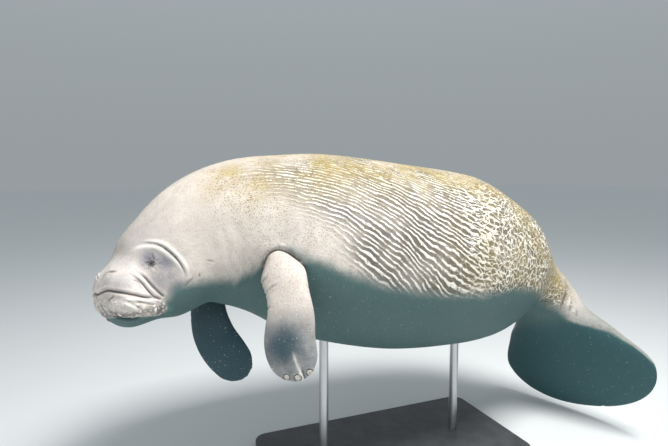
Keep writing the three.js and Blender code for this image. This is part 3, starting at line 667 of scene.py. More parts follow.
for name, limb in flippers.items():
    turn = np.linspace(0, math.pi / 2, ROUND_RINGS + 1)[1:]
    round_from = 1 - FLIPPER_ROUND / limb.length
    on_arm = np.linspace(0, round_from, FLIPPER_RINGS - ROUND_RINGS)
    shares = np.concatenate([[0], on_arm, round_from + (1 - round_from) * np.sin(turn)])
    angle = 2 * np.pi * np.arange(FLIPPER_COLUMNS) / FLIPPER_COLUMNS
    here, _, side, face = (v[:, None] for v in limb.frame(shares))
    c, s = np.cos(angle)[None], np.sin(angle)[None]
    power = (2 / FLIPPER_SQUARE(shares))[:, None]
    full = limb.rounding(shares)[:, None]
    full[0] = 0
    thick = np.where(s >= 0, FLIPPER_OUTER(shares)[:, None], FLIPPER_INNER(shares)[:, None]) * full**0.6
    half = FLIPPER_HALF(shares)[:, None] * full
    off = half * np.sign(c) * np.abs(c) ** power
    out = thick * np.sign(s) * np.abs(s) ** power
    table = here + side * off[..., None] + face * out[..., None]
    piece, ring, column = wrapped_sphere(f"flipper_{name}", FLIPPER_COLUMNS, len(shares) - 1, table)
    set_mark(piece, "share", shares[ring])
    set_mark(piece, "off", off[ring, column] / MM * limb.mirror)
    set_mark(piece, "outer", (s[0][column] > 0).astype(float))
    tips = [limb.outer_skin(1 - before * MM / limb.length, across * MM)[0] for before, across, _, _ in NAILS]
    for reach in (0.030, 0.024):
        split_finer(piece, lambda p: np.min([away_from(p, tip) for tip in tips], axis=0) < reach)
    elbow_at, _, _, elbow_face = (v[0] for v in limb.frame(np.array([ELBOW_CREASES[0][0]])))
    elbow_at = elbow_at + elbow_face * 0.03 - limb.across * 0.045
    split_finer(piece, lambda p: away_from(p, elbow_at) < 0.062)
    share_at, off_mm, outer = (mark_on(piece, mark) for mark in ("share", "off", "outer"))
    fingers = smooth((share_at - 0.58) / 0.2) * outer
    # The hand's relief, with painted shade in its grooves and painted highlight on its crests.
    lift, grooves, ridges = np.zeros((3, len(share_at)))
    for finger in FINGERS:
        lift += 1.5 * fingers * bump(off_mm - finger * (1.15 - 0.15 * share_at), 9)
    on_line = smooth((share_at - 0.76) / 0.08) * fingers
    beside = bump(off_mm - 28 + 12 * share_at, 2.8) * on_line
    crest = bump(off_mm - 19 + 12 * share_at, 6) * on_line
    lift += 3 * crest - 3 * beside
    grooves = np.maximum(grooves, 0.8 * beside)
    ridges = np.maximum(ridges, crest)
    for at, slope, start, end, depth in ELBOW_CREASES:
        away = (share_at - at) * limb.length / MM + slope * off_mm
        there = smooth((off_mm - start) / 12) * smooth((end - off_mm) / 12) * (0.4 + 0.6 * outer)
        lift -= 0.8 * depth * bump(away, 5.0) * there
        lift += 0.35 * depth * bump(np.abs(away) - 8, 5) * there
        grooves = np.maximum(grooves, bump(away, 3.2) * there * depth / 14)
    for before, across, long, wide in NAILS:
        ahead = (share_at - 1) * limb.length / MM + before
        rim = (np.hypot(ahead / long, (off_mm - across) / wide) - 1.12) * (long + wide) / 2
        lift += outer * (1.6 * bump(rim - 4, 3) * smooth(0.7 - ahead / long) - 1.2 * bump(rim, 2))
        grooves = np.maximum(grooves, outer * bump(rim, 2.2) * 0.9)
    move_to(piece, places_of(piece) + normals_of(piece) * (lift * MM)[:, None])
    unposed = (places_of(piece) - centre) @ attitude + [POSE_CENTRE, 0, 0]
    # The outer face counts as facing up and the inner face as facing down, so that the inner face gets the
    # painted shade.
    facing = np.where(outer > 0.5, 0.35, -0.6)
    # A soft patch of painted shade on the hand's outer face, about seven tenths of the way along.
    bruise = bump(np.hypot((share_at - 0.70 + 0.0006 * off_mm) / 0.15, (off_mm + 16) / 64), 1) * outer
    remember(
        piece, straight=unposed, facing_up=facing, creased=grooves, ridged=ridges,
        limb=np.ones(len(share_at)), along_limb=share_at, bruised=bruise,
    )

    bpy.ops.object.select_all(action="DESELECT")
    bpy.context.view_layer.objects.active = hide
    joining = hide.modifiers.new("flipper", "BOOLEAN")
    joining.operation = "UNION"
    joining.solver = "MANIFOLD"
    joining.object = piece
    bpy.ops.object.modifier_apply(modifier=joining.name)
    bpy.data.objects.remove(piece)

# The armpits: hide stretched round the joint of each flipper, smooth below and creased above, where the
# crease gets a painted shade. Near the line where the two surfaces meet, each point is moved towards the
# middle of its neighbours.
known = {name: np.concatenate(values) for name, values in known.items()}


def search_tree(places):
    """A tree that finds the nearest of some places."""
    tree = KDTree(len(places))
    for i, place in enumerate(places):
        tree.insert(place, i)
    tree.balance()
    return tree


near_known = search_tree(known["place"])
joined = places_of(hide)
source = np.array([near_known.find(place)[1] for place in joined])
marks = {name: known[name][source] for name in MARKS}
marks["straight"] += (joined - known["place"][source]) @ attitude

edges = np.empty(len(hide.data.edges) * 2, int)
hide.data.edges.foreach_get("vertices", edges)
edges = edges.reshape(-1, 2)
meeting = marks["limb"][edges[:, 0]] != marks["limb"][edges[:, 1]]
seam = search_tree(joined[np.unique(edges[meeting])])
from_seam = np.array([seam.find(place)[2] for place in joined])
count = np.bincount(edges.ravel(), minlength=len(joined))


def eased(values, weight, rounds):
    """Values at the points, each moved some rounds towards the mean of its neighbours'."""
    rows = values if values.ndim == 2 else values[:, None]
    for _ in range(rounds):
        others = rows[edges[:, ::-1].ravel()]
        total = np.stack([np.bincount(edges.ravel(), column, len(rows)) for column in others.T], -1)
        rows = rows + (total / count[:, None] - rows) * weight[:, None]
    return rows.reshape(values.shape)


EASE_REACH, EASE_ROUNDS = 0.009, 5
move_to(hide, eased(joined, 0.5 * smooth(1 - from_seam / EASE_REACH), EASE_ROUNDS))
upper = smooth((normals_of(hide)[:, 2] + 0.45) / 0.4)
# A painted shade line along the upper side of the seam round each flipper.
marks["creased"] = np.maximum(marks["creased"], bump(from_seam, 0.004) * upper)
wide = smooth(1 - from_seam / 0.05)
for name in ("facing_up", "limb"):
    marks[name] = eased(marks[name], wide, 16)
facing_up = marks.pop("facing_up")
for face in hide.data.polygons:
    face.use_smooth = True

low_corner, high_corner = (np.array(corner) for corner in cad_box)
move_to(hide, np.clip(places_of(hide), low_corner + INSIDE / 4, high_corner - INSIDE / 4))

# Marks that the hide's colour and wrinkles follow: where it lies on the straight body, and how strongly each
# kind of wrinkle, stain and painted shade shows there. The wrinkles slant down and back from above the
# shoulder, level out along the flank, and become an upright net towards the tail.
LEAN, LEVEL_FROM = 0.75, 1.15  # how steeply they slant, and where along the body they level out
MID_FLANK = 0.62  # from the middle of the back, along the skin
LIPS_END, BEHIND_HEAD, REAR_FROM, TAIL_ROOT, PADDLE_FROM = 0.156, 0.42, 1.25, 2.20, 2.36
# The line on the side, in millimetres, under which the hide gets a slate painted shade.
SHADE_FROM = np.array([
    [150, -80], [212, -93], [275, -133], [426, -203], [600, -200], [700, -134], [755, -119], [806, -139],
    [862, -156], [922, -174], [984, -189], [1091, -213], [1204, -228], [1391, -230], [1604, -212],
    [1842, -155], [1928, -150], [2032, -152], [2236, -111], [2287, -107], [2352, -88], [2406, -66],
]) * MM
# Patches of film above the shoulder, and violet-grey painted shade in the hollows round and behind the eye,
# on the
# brow and over the lips: where they are, how far they reach and how strong they are.
FILM_PATCHES = [([0.53, 0.20, 0.18], 0.09, 1), ([0.60, 0.27, 0.11], 0.09, 1)]
HOLLOWS = [
    ([0.176, 0.140, 0.050], 0.040, 1),
    ([0.212, 0.156, 0.006], 0.042, 1),
    ([0.196, 0.150, -0.050], 0.042, 0.7),
    ([0.196, 0.150, -0.085], 0.042, 0.7),
    ([0.164, 0.142, -0.036], 0.048, 0.75),
    ([0.20, 0.09, 0.120], 0.110, 0.34),
    ([0.12, 0.10, 0.070], 0.055, 0.30),
    ([0.056, 0.118, 0.030], 0.040, 0.6),
    ([0.030, 0.080, 0.060], 0.030, 0.5),
]
x, y, z = marks["straight"].T
trunk = 1 - marks["limb"]
at = np.clip(x, 0, LENGTH)
above, below, half = above_spine(at), below_spine(at), np.maximum(half_width(at), 1e-3)
turn = np.arctan2(np.abs(y) / half, z / np.maximum(np.where(z > 0, above, below), 1e-3))
upper_turn, lower_turn = np.minimum(turn, math.pi / 2), np.maximum(turn - math.pi / 2, 0)
from_back = upper_turn * (half + above) / 2 + lower_turn * (half + below) / 2
left_side = mirrored(marks["straight"])


def patches(rows):
    """The strongest of some round patches at each point of the hide, on both sides of the body."""
    return np.max([strength * bump(away_from(left_side, at), reach) for at, reach, strength in rows], axis=0)


# How the wrinkles lie: the distance along the lines and the distance across them.
along = np.linspace(0, LENGTH, 500)
falls = np.cumsum(LEAN * (1 - smooth((along - LEVEL_FROM) / 0.6))) * along[1]
crowded = np.cumsum(1 + 2.8 * smooth((along - 1.55) / 0.35)) * along[1]
fall = np.interp(at, along, falls - falls[-1]) * (0.85 + 0.15 * smooth((from_back - 0.35) / 0.3))
across = from_back - fall
to_tail = smooth((at - 1.6) / 0.4)
across_lines = MID_FLANK + (across - MID_FLANK) * (1 - 0.35 * to_tail) + 0.2 * np.minimum(from_back - 0.5, 0)
along_lines = np.interp(at, along, crowded) + 1.2 * to_tail * (from_back - 0.6)
marks["lie"] = np.stack([along_lines, across_lines, np.zeros(len(x))], -1)

# Where the hide gets a slate painted shade: below the line on the side, and where the chin, a flipper or the
# paddle faces down.
below_line = smooth((np.interp(x, *SHADE_FROM.T) - z) / 0.12 + 0.5)
rim_only = 0.42 * smooth((x - 2.40) / 0.2) * trunk
facing_down = smooth((0.06 + rim_only - facing_up) / 0.60)
by_line = smooth((x - 0.15) / 0.05) * smooth((2.44 - x) / 0.12) * trunk
low = facing_down + (below_line - facing_down) * by_line
lips = smooth((LIPS_END - x) / 0.03) * smooth((z + 0.075 + 0.75 * np.clip(x, 0, 0.11)) / 0.02) * trunk
low = low * (1 - lips)

# Where each kind of wrinkle, the olive film, the pits and the painted highlights and shade of the lip pads
# show.
lit = 1 - smooth((low - 0.35) / 0.5)
before_tail = 1 - smooth((x - TAIL_ROOT) / 0.2)
shoulder_edge = BEHIND_HEAD + 1.1 * np.clip(from_back - 0.25, 0, 0.4)
lines = smooth((1.13 - across) / 0.08) * smooth((x - shoulder_edge) / 0.2)
lines = lines * smooth((from_back - 0.16) / 0.16) * (0.55 + 0.45 * smooth((from_back - 0.35) / 0.2))
lines = lines * (1 - 0.6 * smooth((x - 1.35) / 0.5)) * before_tail
rear = smooth((x - REAR_FROM) / 0.5) * smooth((from_back - 0.20) / 0.2) * before_tail
high = smooth((0.60 - from_back) / 0.34) * smooth((x - BEHIND_HEAD) / 0.5) * before_tail
marks["wrinkle_lines"] = lines * lit * trunk
marks["wrinkle_net"] = rear * lit * trunk
marks["wrinkle_fine"] = high * (1 - 0.6 * lines) * trunk
stained = np.maximum(high, (0.5 + 0.2 * smooth((x - 1.75) / 0.3)) * rear)
marks["stained"] = np.maximum(stained, patches(FILM_PATCHES)) * (1 - low) * trunk
marks["pitted"] = (0.15 + 0.85 * smooth((x - 0.34) / 0.2)) * (1 - 0.7 * low) * (1 - 0.4 * marks["limb"])
marks["shaded"] = low
marks["paddle"] = smooth((x - PADDLE_FROM) / 0.12) * trunk
marks["hollow"] = patches(HOLLOWS) * trunk
marks["lips"] = lips
arch = curve_through(np.array(FOLDS["arch over the lips"][-1][2:]) * MM)
edge = curve_through(np.array(FOLDS["mouth"][-1][1:]) * MM)
below_arch = np.interp(x, arch[:, 0], arch[:, 2]) - z
above_edge = z - np.interp(x, edge[:, 0], edge[:, 2])
marks["pads"] = lips * smooth(below_arch / 0.012) * (0.2 + 0.8 * smooth((0.042 - above_edge) / 0.03))
for name, values in marks.items():
    set_mark(hide, name, values)


def shader_of(name):
    """A new material with its node tree, its surface shader and nothing else."""
    material = bpy.data.materials.new(name)
    material.use_nodes = True
    return material, material.node_tree, material.node_tree.nodes["Principled BSDF"]


def feed(shader, inputs):
    """Gives each input of a shader node a value, or another node's output."""
    for key, value in inputs.items():
        if isinstance(value, bpy.types.NodeSocket):
            tree.links.new(value, shader.inputs[key])
        else:
            shader.inputs[key].default_value = value


def node(kind, inputs, **settings):
    """A node with its settings, added to the tree of the finish that is being made."""
    made = tree.nodes.new("ShaderNode" + kind)
    for key, value in settings.items():
        setattr(made, key, value)
    feed(made, inputs)
    return made


def maths(operation, *values):
    return node("Math", dict(enumerate(values)), operation=operation).outputs[0]


def times(a, b):
    return maths("MULTIPLY", a, b)


def times_plus(a, b, more):
    return maths("MULTIPLY_ADD", a, b, more)


def blended(share, a, b):
    return node("Mix", {0: share, 6: a, 7: b}, data_type="RGBA").outputs[2]


def mark_of(name, output="Fac"):
    return node("Attribute", {}, attribute_name=name).outputs[output]


def noise(vector, scale, detail=3.0, rough=0.55, output="Fac"):
    inputs = {"Vector": vector, "Scale": scale, "Detail": detail, "Roughness": rough}
    return node("TexNoise", inputs).outputs[output]


def ramp(value, low, high):
    """0 below low, 1 above high, and smooth between them."""
    inputs = {"Value": value, "From Min": low, "From Max": high}
    return node("MapRange", inputs, interpolation_type="SMOOTHSTEP").outputs[0]


def shaken(vector, shake, reach):
    """A place moved a little way by a noise of three numbers."""
    moved = node("VectorMath", {0: shake, "Scale": reach}, operation="SCALE").outputs[0]
    return node("VectorMath", {0: vector, 1: moved}, operation="ADD").outputs[0]


def waves(vector, scale, warp, detail, detail_scale):
    inputs = {"Vector": vector, "Scale": scale, "Distortion": warp, "Detail": detail}
    inputs["Detail Scale"] = detail_scale
    return node("TexWave", inputs, wave_type="BANDS", bands_direction="X").outputs["Fac"]


def from_cell_edge(vector, scale):
    inputs = {"Vector": vector, "Scale": scale}
    return node("TexVoronoi", inputs, feature="DISTANCE_TO_EDGE").outputs["Distance"]


def rgb(red, green, blue):
    return (red, green, blue, 1.0)


hide_finish, tree, surface = shader_of("manatee_hide")
place = mark_of("straight", "Vector")
along_lie, across_lie, _ = node("SeparateXYZ", {0: mark_of("lie", "Vector")}).outputs
mark = {name: mark_of(name) for name in marks if marks[name].ndim == 1}

# The hide's relief: long waves across their lie on the flank, a net of raised lines towards the tail, fine
# lines over the back, pits and pores all over, and domes between narrow furrows on the lip pads.
LINE_SPACING = 0.024
WAVES_IN_A_UNIT = 20 / (2 * math.pi)  # of the wave texture at a scale of one
RELIEF_DEPTH = 0.0048
wave_scale = 1 / (WAVES_IN_A_UNIT * LINE_SPACING)
wandering = times_plus(noise(place, 4.0), 0.06, across_lie)
shake = noise(place, 22.0, 3.0, 0.5, "Color")
shake = node("VectorMath", {0: shake, 1: (0.5, 0.5, 0.5)}, operation="SUBTRACT").outputs[0]
lines_on = shaken(node("CombineXYZ", {0: wandering, 1: times(along_lie, 0.5)}).outputs[0], shake, 0.024)
net_on = shaken(node("CombineXYZ", {0: wandering, 1: times(along_lie, 0.42)}).outputs[0], shake, 0.034)
broken = ramp(noise(place, 30.0), 0.36, 0.58)
crests = ramp(waves(lines_on, wave_scale, 7.0, 3.0, 0.7), 0.34, 0.92)
crests = times(crests, times_plus(broken, 0.65, 0.35))
small_crests = ramp(waves(lines_on, 1.7 * wave_scale, 10.0, 4.0, 1.1), 0.40, 1.0)
small_crests = times(small_crests, times_plus(broken, 0.8, 0.2))
cell_edges = maths("SUBTRACT", 1.0, ramp(from_cell_edge(net_on, 38.0), 0.0, 0.15))
pits_on = shaken(place, noise(place, 190.0, 2.0, 0.5, "Color"), 0.005)
pit_gaps = node("TexVoronoi", {"Vector": pits_on, "Scale": 120.0}).outputs["Distance"]
pits = times(maths("SUBTRACT", 1.0, ramp(pit_gaps, 0.10, 0.44)), mark["pitted"])
pad_domes = times(ramp(from_cell_edge(shaken(place, shake, 0.034), 64.0), 0.02, 0.34), mark["pads"])

patchy = ramp(noise(place, 4.5), 0.34, 0.60)
fine = noise(place, 150.0, 4.0, 0.62)
lines_there = times(mark["wrinkle_lines"], times_plus(patchy, 0.4, 0.6))
net_there = times(mark["wrinkle_net"], times_plus(patchy, 0.4, 0.5))
fine_there = times(mark["wrinkle_fine"], times_plus(patchy, 0.5, 0.4))
raised = times(crests, lines_there)
raised = times_plus(cell_edges, net_there, raised)
raised = times_plus(small_crests, fine_there, raised)
height = raised
for layer, share in ((fine, 0.42), (noise(place, 480.0, 2.0, 0.7), 0.10), (pits, -0.10), (pad_domes, 1.2)):
    height = times_plus(layer, share, height)
relief = node("Bump", {"Strength": 1.0, "Distance": RELIEF_DEPTH, "Height": height}).outputs[0]

# Its colours: pale beige where the light falls, warm grey between, slate painted shade on the belly and the
# paddle, violet-grey painted shade round the eye, pink lips, painted highlights on lumps, crests and ridges,
# painted shade in furrows, troughs and creases, an olive film on the back, and dark specks all over.
PALE, CREAM = rgb(0.72, 0.66, 0.595), rgb(0.88, 0.86, 0.79)
WARM_GREY, TAN, BROWN = rgb(0.46, 0.415, 0.38), rgb(0.47, 0.39, 0.345), rgb(0.078, 0.070, 0.050)
LIP_PALE, PINK = rgb(0.82, 0.77, 0.72), rgb(0.60, 0.46, 0.41)
LUMP_PALE, FURROW = rgb(0.95, 0.92, 0.88), rgb(0.11, 0.095, 0.090)
VIOLET_GREY, BRUISE = rgb(0.150, 0.155, 0.205), rgb(0.030, 0.070, 0.090)
HAND_GREY, HAND_BLUE = rgb(0.25, 0.26, 0.27), rgb(0.075, 0.10, 0.125)
SLATE, LIMB_SLATE, DEEP_SLATE = rgb(0.048, 0.118, 0.118), rgb(0.024, 0.066, 0.086), rgb(0.028, 0.094, 0.105)
OLIVE, INK = rgb(0.43, 0.32, 0.08), rgb(0.016, 0.015, 0.018)
broad = ramp(noise(place, 3.4, 4.0, 0.6), 0.38, 0.72)
mottle = ramp(noise(place, 24.0, 5.0, 0.65), 0.35, 0.75)
wrinkled = maths("ADD", maths("ADD", lines_there, net_there), fine_there)
# Painted shade in the troughs between the wrinkles' crests.
sunk = maths("MINIMUM", maths("SUBTRACT", wrinkled, raised), 1.0)
film = ramp(noise(place, 7.0, 5.0, 0.7), 0.36, 0.58)
film = times(mark["stained"], times_plus(film, 0.46, 0.14))
speckled = ramp(noise(place, 6.0, 4.0, 0.65), 0.40, 0.62)
speckled = times_plus(mark["stained"], 0.55, times_plus(speckled, 0.50, 0.12))
# Painted shade on the hands: grey to blue-grey from about half way along each flipper to its tip.
hand = times(mark["limb"], ramp(mark["along_limb"], 0.40, 0.74))
hand_tone = blended(ramp(noise(place, 9.0, 4.0, 0.6), 0.40, 0.62), HAND_GREY, HAND_BLUE)
bruise_edge = times_plus(noise(place, 16.0, 4.0, 0.65), 0.5, maths("SUBTRACT", mark["bruised"], 0.25))
shade_edge = times_plus(noise(place, 12.0, 5.0, 0.7), 0.40, mark["shaded"])
shade = times(ramp(shade_edge, 0.28, 1.05), 0.95)
flecks = ramp(noise(place, 120.0, 1.0, 0.5), 0.70, 0.78)
# How much of each colour lies over those before it.
layers = [
    (times(broad, 0.75), WARM_GREY),
    (times(mottle, 0.5), TAN),
    (times(mark["lips"], 0.8), LIP_PALE),
    (times(mark["lips"], times(mottle, 0.5)), PINK),
    # Violet-grey painted shade in the hollows round the eye, on the brow and over the lips.
    (times(mark["hollow"], 0.85), VIOLET_GREY),
    # Painted shade in the wrinkles' troughs, and painted highlight on their crests.
    (times(sunk, 0.88), BROWN),
    (times(ramp(raised, 0.20, 0.65), 0.92), CREAM),
    (film, OLIVE),
    # Painted highlight on the lumps of the lip pads, and painted shade in the furrows between them.
    (times(pad_domes, 0.9), LUMP_PALE),
    (times(maths("SUBTRACT", mark["pads"], pad_domes), 0.85), FURROW),
    (times(pits, speckled), BROWN),
    # Painted shade on the hand, grey to blue-grey.
    (times(hand, 0.85), hand_tone),
    # A darker patch of painted shade on the hand's outer face.
    (times(ramp(bruise_edge, 0.10, 1.00), 0.85), BRUISE),
    # Painted highlight on ridges, rolls and lumps.
    (times(mark["ridged"], 0.7), CREAM),
    # Slate painted shade below the shade line and where the hide faces down.
    (shade, blended(mark["limb"], SLATE, LIMB_SLATE)),
    # More slate painted shade all over the paddle, darkest where it is shaded.
    (times(mark["paddle"], times_plus(shade, 0.4, 0.5)), DEEP_SLATE),
    (times(flecks, times_plus(mark["limb"], 0.35, 0.25)), CREAM),
    # Dark painted shade in creases, folds, lid folds and round the nails.
    (times(mark["creased"], 0.85), INK),
]
colour = PALE
for share, tone in layers:
    colour = blended(share, colour, tone)
rough = times_plus(fine, 0.25, 0.46)
feed(surface, {"Base Color": colour, "Normal": relief, "Roughness": rough, "Specular IOR Level": 0.30})


def dress(piece, finish):
    piece.data.materials.clear()
    piece.data.materials.append(finish)


dress(hide, hide_finish)
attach(hide, "root")
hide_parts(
    "muzzle", "jaw", "head", "neck", "chest", "belly", "loin", "tail_stock", "tail_paddle",
    "flipper_left", "flipper_right", "eyelid_upper_left", "eyelid_lower_left", "eyelid_upper_right",
    "eyelid_lower_right",
)

# The eyes: small wet glossy balls, dark brown, which sit in their sockets so that the lids leave only an
# almond of each in sight.


def mottled(scale, detail, low, high, first, second):
    """A colour that goes from one to another with a noise on the piece's own coordinates."""
    coords = node("TexCoord", {}).outputs["Object"]
    return blended(ramp(noise(coords, scale, detail), low, high), first, second)


eye_finish, tree, surface = shader_of("eye_gloss")
iris = mottled(420.0, 3.0, 0.35, 0.65, rgb(0.030, 0.017, 0.010), rgb(0.012, 0.008, 0.007))
feed(surface, {"Base Color": iris, "Roughness": 0.08, "Coat Weight": 1.0})
for side, place in zip(("left", "right"), eye_places + centre):
    ball = new_sphere(f"eyeball_{side}", 40, 24, EYE_BALL - 0.0002, place)
    bpy.ops.object.shade_smooth()
    bpy.ops.object.transform_apply(location=True, rotation=True, scale=True)
    dress(ball, eye_finish)
    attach(ball, "root")
    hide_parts(f"eye_{side}")

# The nails: three small flat plates of worn horn on the outer face of each flipper's tip. Each lies in the
# bed that the hide's relief leaves for it, a little proud of the skin.
NAIL_THICK, NAIL_SUNK = 0.0032, 0.0004
nail_finish, tree, surface = shader_of("nail_horn")
worn = mottled(240.0, 3.0, 0.35, 0.7, rgb(0.62, 0.58, 0.51), rgb(0.36, 0.32, 0.27))
feed(surface, {"Base Color": worn, "Roughness": 0.38})
for name, limb in flippers.items():
    for i, (before, across, long, wide) in enumerate(NAILS):
        middle, ahead, side, out = limb.outer_skin(1 - before * MM / limb.length, across * MM)
        nail = new_sphere(f"nail_{name}_{i + 1}_horn", 36, 18)
        unit = places_of(nail)
        plan = np.hypot(unit[:, 0], unit[:, 1])
        fuller = np.maximum(np.abs(unit[:, 0]), np.abs(unit[:, 1])) / np.maximum(plan, 1e-6)
        square = 1 + 0.35 * (1 - fuller)
        narrower = 1 - 0.14 * unit[:, 1]
        plate = np.sign(unit[:, 2]) * np.sqrt(1 - np.minimum(plan, 1) ** 4) * (1 - 0.2 * unit[:, 0] ** 2)
        unit = np.stack([unit[:, 0] * square * narrower, unit[:, 1] * square, plate], -1)
        size = np.array([wide * MM, long * MM, NAIL_THICK])
        move_to(nail, (unit * size) @ np.stack([side, ahead, out]) + middle - out * NAIL_SUNK)
        bpy.ops.object.shade_smooth()
        dress(nail, nail_finish)
        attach(nail, "root")
        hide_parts(f"nail_{name}_{i + 1}")

# The bristles: short stiff hairs of horn on the lip pads, pointing out and down, and fine sparse ones over
# the head and the back. Each is a tapered solid, rooted just under the hide.
BRISTLE_SIDES, BRISTLE_TAPER = 4, 0.82
bristle_finish, tree, surface = shader_of("bristle_horn")
straw = mottled(160.0, 2.0, 0.35, 0.65, rgb(0.62, 0.55, 0.42), rgb(0.30, 0.24, 0.17))
feed(surface, {"Base Color": straw, "Roughness": 0.42})

bpy.ops.object.select_all(action="DESELECT")
bpy.ops.mesh.primitive_cylinder_add(vertices=BRISTLE_SIDES, radius=1, depth=1, end_fill_type="TRIFAN")
bristles = bpy.context.object
bristles.name = bristles.data.name = "bristles"
bpy.ops.object.mode_set(mode="EDIT")
for cut_at in (-0.1, 0.25):
    bpy.ops.mesh.select_all(action="SELECT")
    bpy.ops.mesh.bisect(plane_co=(0, 0, cut_at), plane_no=(0, 0, 1))
bpy.ops.object.mode_set(mode="OBJECT")
one = places_of(bristles)
one_faces = [list(face.vertices) for face in bristles.data.polygons]
one_along = one[:, 2] + 0.5
one_round = one[:, :2] * (1 - BRISTLE_TAPER * one_along)[:, None]

hide_places, hide_normals = places_of(hide), normals_of(hide)
toward_tail = attitude @ np.array([1, 0, 0])
pad_middles = np.array([at for at, _, _ in MOUNDS[:5]]) * MM
to_pads = np.min([away_from(left_side, middle) for middle in pad_middles], axis=0)
on_pads = (to_pads < 0.030) & (z < 0.012) & (marks["creased"] < 0.3) & (trunk > 0.9)
on_crown = (x > 0.035) & (x < 0.50) & (from_back < 0.26) & (trunk > 0.9)
on_flank = (x > 0.50) & (x < 2.25) & (low < 0.5) & (trunk > 0.9)
# How far apart they stand, how long and how thick they are, and how much they lie back or hang.
HAIR_KINDS = [
    (on_pads, 0.0058, (0.0035, 0.009), 0.00040, -0.15, -0.3),
    (on_crown, 0.020, (0.011, 0.020), 0.00030, 0.45, 0.0),
    (on_flank, 0.062, (0.015, 0.026), 0.00028, 0.9, -0.2),
]
bristle_places, bristle_faces, bristle_maps = [], [], []
for chosen, apart, (shortest, longest), thick, lie_back, hang in HAIR_KINDS:
    taken = []
    for i in random.permutation(np.flatnonzero(chosen)):
        if taken and np.min(away_from(hide_places[taken], hide_places[i])) < apart:
            continue
        taken.append(i)
        length = random.uniform(shortest, longest)
        grows = hide_normals[i] + lie_back * toward_tail + hang * np.array([0, 0, 1])
        grows = grows + random.normal(0, 0.16, 3)
        grows /= np.linalg.norm(grows)
        droop = np.array([0, 0, -0.25]) + random.normal(0, 0.12, 3)
        first = np.cross(grows, [0.3, 0.5, 0.8])
        first /= np.linalg.norm(first)
        second = np.cross(grows, first)
        root = hide_places[i] - hide_normals[i] * 0.0015
        line = root + one_along[:, None] * length * (grows + one_along[:, None] * droop)
        made = line + thick * (one_round[:, :1] * first + one_round[:, 1:] * second)
        if np.any(made < low_corner) or np.any(made > high_corner):
            continue
        start = len(bristle_places) * len(one)
        bristle_faces.extend([[start + k for k in face] for face in one_faces])
        bristle_places.append(made)
        on_map = np.array([(x[i] + 0.05) / (LENGTH + 0.1), 0.5 + np.sign(y[i]) * 0.48 * turn[i] / math.pi])
        bristle_maps.append(on_map + 0.003 * np.stack([0.5 * one[:, 0], one[:, 2]], -1))
bristles.data.clear_geometry()
bristles.data.from_pydata(np.concatenate(bristle_places).tolist(), [], bristle_faces)
bristles.data.update()
bristle_map = bristles.data.uv_layers.new(name="OFBake")
corners = np.empty(len(bristles.data.loops), int)
bristles.data.loops.foreach_get("vertex_index", corners)
bristle_map.data.foreach_set("uv", np.concatenate(bristle_maps)[corners].astype(np.float32).ravel())
dress(bristles, bristle_finish)
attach(bristles, "root")

# The stand: a flat steel base plate, painted dark, and two bare steel rods that are fixed in it and end in
# the body. It keeps the solids' shape and only gets its finishes.
paint_finish, tree, surface = shader_of("stand_paint")
dusty = mottled(14.0, 4.0, 0.3, 0.75, rgb(0.050, 0.053, 0.057), rgb(0.075, 0.078, 0.082))
coords = node("TexCoord", {}).outputs["Object"]
orange_peel = node("Bump", {"Strength": 0.25, "Distance": 0.0004, "Height": noise(coords, 420.0, 2.0)})
feed(surface, {"Base Color": dusty, "Normal": orange_peel.outputs[0], "Roughness": 0.48})
dress(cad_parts["stand_base"], paint_finish)
steel_finish, tree, surface = shader_of("rod_steel")
coords = node("TexCoord", {}).outputs["Object"]
streak = noise(node("Mapping", {"Vector": coords, "Scale": (1, 1, 0.02)}).outputs[0], 900.0)
steel = blended(streak, rgb(0.42, 0.43, 0.44), rgb(0.62, 0.63, 0.64))
feed(surface, {"Base Color": steel, "Roughness": times_plus(streak, 0.2, 0.25), "Metallic": 1.0})
for name in ("stand_rod_front", "stand_rod_rear"):
    dress(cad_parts[name], steel_finish)

# The floor is plain and pale, and the light soft: one large panel overhead, a weak one in front, and an even
# sky that is a little brighter above.
bpy.ops.object.select_all(action="DESELECT")
bpy.ops.mesh.primitive_plane_add(size=80, location=(0, 0, 0))
floor = bpy.context.object
floor.name = floor.data.name = "floor"
floor_finish, tree, surface = shader_of("floor_pale")
feed(surface, {"Base Color": rgb(0.74, 0.76, 0.77), "Roughness": 0.8})
dress(floor, floor_finish)


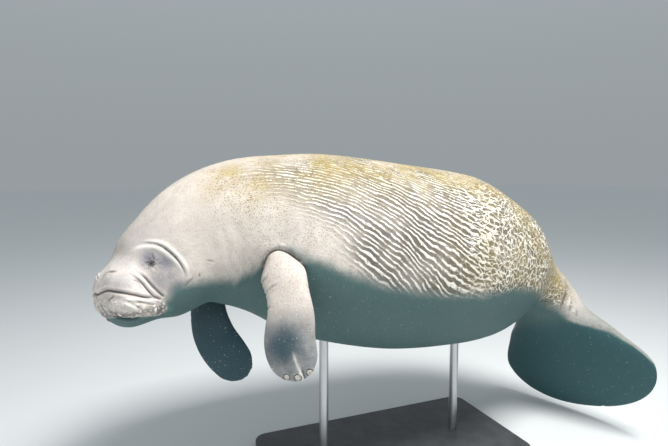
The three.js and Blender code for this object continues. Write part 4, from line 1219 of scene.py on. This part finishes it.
def soft_panel(name, place, target, size, power, colour):
    light = bpy.data.lights.new(name, "AREA")
    light.shape = "RECTANGLE"
    light.size, light.size_y = size
    light.energy = power
    light.color = colour
    panel = bpy.data.objects.new(name, light)
    bpy.context.scene.collection.objects.link(panel)
    panel.location = place
    panel.rotation_euler = (Vector(target) - Vector(place)).to_track_quat("-Z", "Y").to_euler()


soft_panel("overhead", (0.45, -1.8, 4.9), (0.1, 0, 0.9), (1.8, 1.4), 320, (1, 0.98, 0.955))
soft_panel("front", (-4.0, -3.5, 2.0), (0, 0, 0.9), (2.0, 2.0), 22, (0.92, 0.96, 1))
world = bpy.data.worlds.new("studio")
world.use_nodes = True
tree, backdrop = world.node_tree, world.node_tree.nodes["Background"]
upwards = node("SeparateXYZ", {0: node("TexCoord", {}).outputs["Generated"]}).outputs[2]
sky = blended(ramp(upwards, 0.0, 0.6), rgb(0.62, 0.68, 0.71), rgb(0.80, 0.88, 0.92))
feed(backdrop, {"Color": sky, "Strength": 0.50})
bpy.context.scene.world = world
bpy.context.scene.view_settings.view_transform = "Standard"

# The camera stands level with the animal's shoulder, a little over two metres from it, turned a little
# towards the tail and slightly down.
PICTURE_WIDTH = 668
FOCAL_PIXELS = 509.1
HEADING, PITCHED_DOWN = math.radians(22.23), math.radians(5.7)
RIGHT_OF_CENTRE, BEHIND_CENTRE, ABOVE_CENTRE = -0.0529, 2.3054, 0.3304
camera_data = bpy.data.cameras.new("camera")
camera = bpy.data.objects.new("camera", camera_data)
bpy.context.scene.collection.objects.link(camera)
camera_data.sensor_width = 36
camera_data.lens = camera_data.sensor_width * FOCAL_PIXELS / PICTURE_WIDTH
forward = Vector((math.sin(HEADING), math.cos(HEADING), 0))
right = Vector((math.cos(HEADING), -math.sin(HEADING), 0))
camera.location = Vector(centre) + right * RIGHT_OF_CENTRE - forward * BEHIND_CENTRE
camera.location.z += ABOVE_CENTRE
camera.rotation_euler = (math.pi / 2 - PITCHED_DOWN, 0, -HEADING)
bpy.context.scene.camera = camera
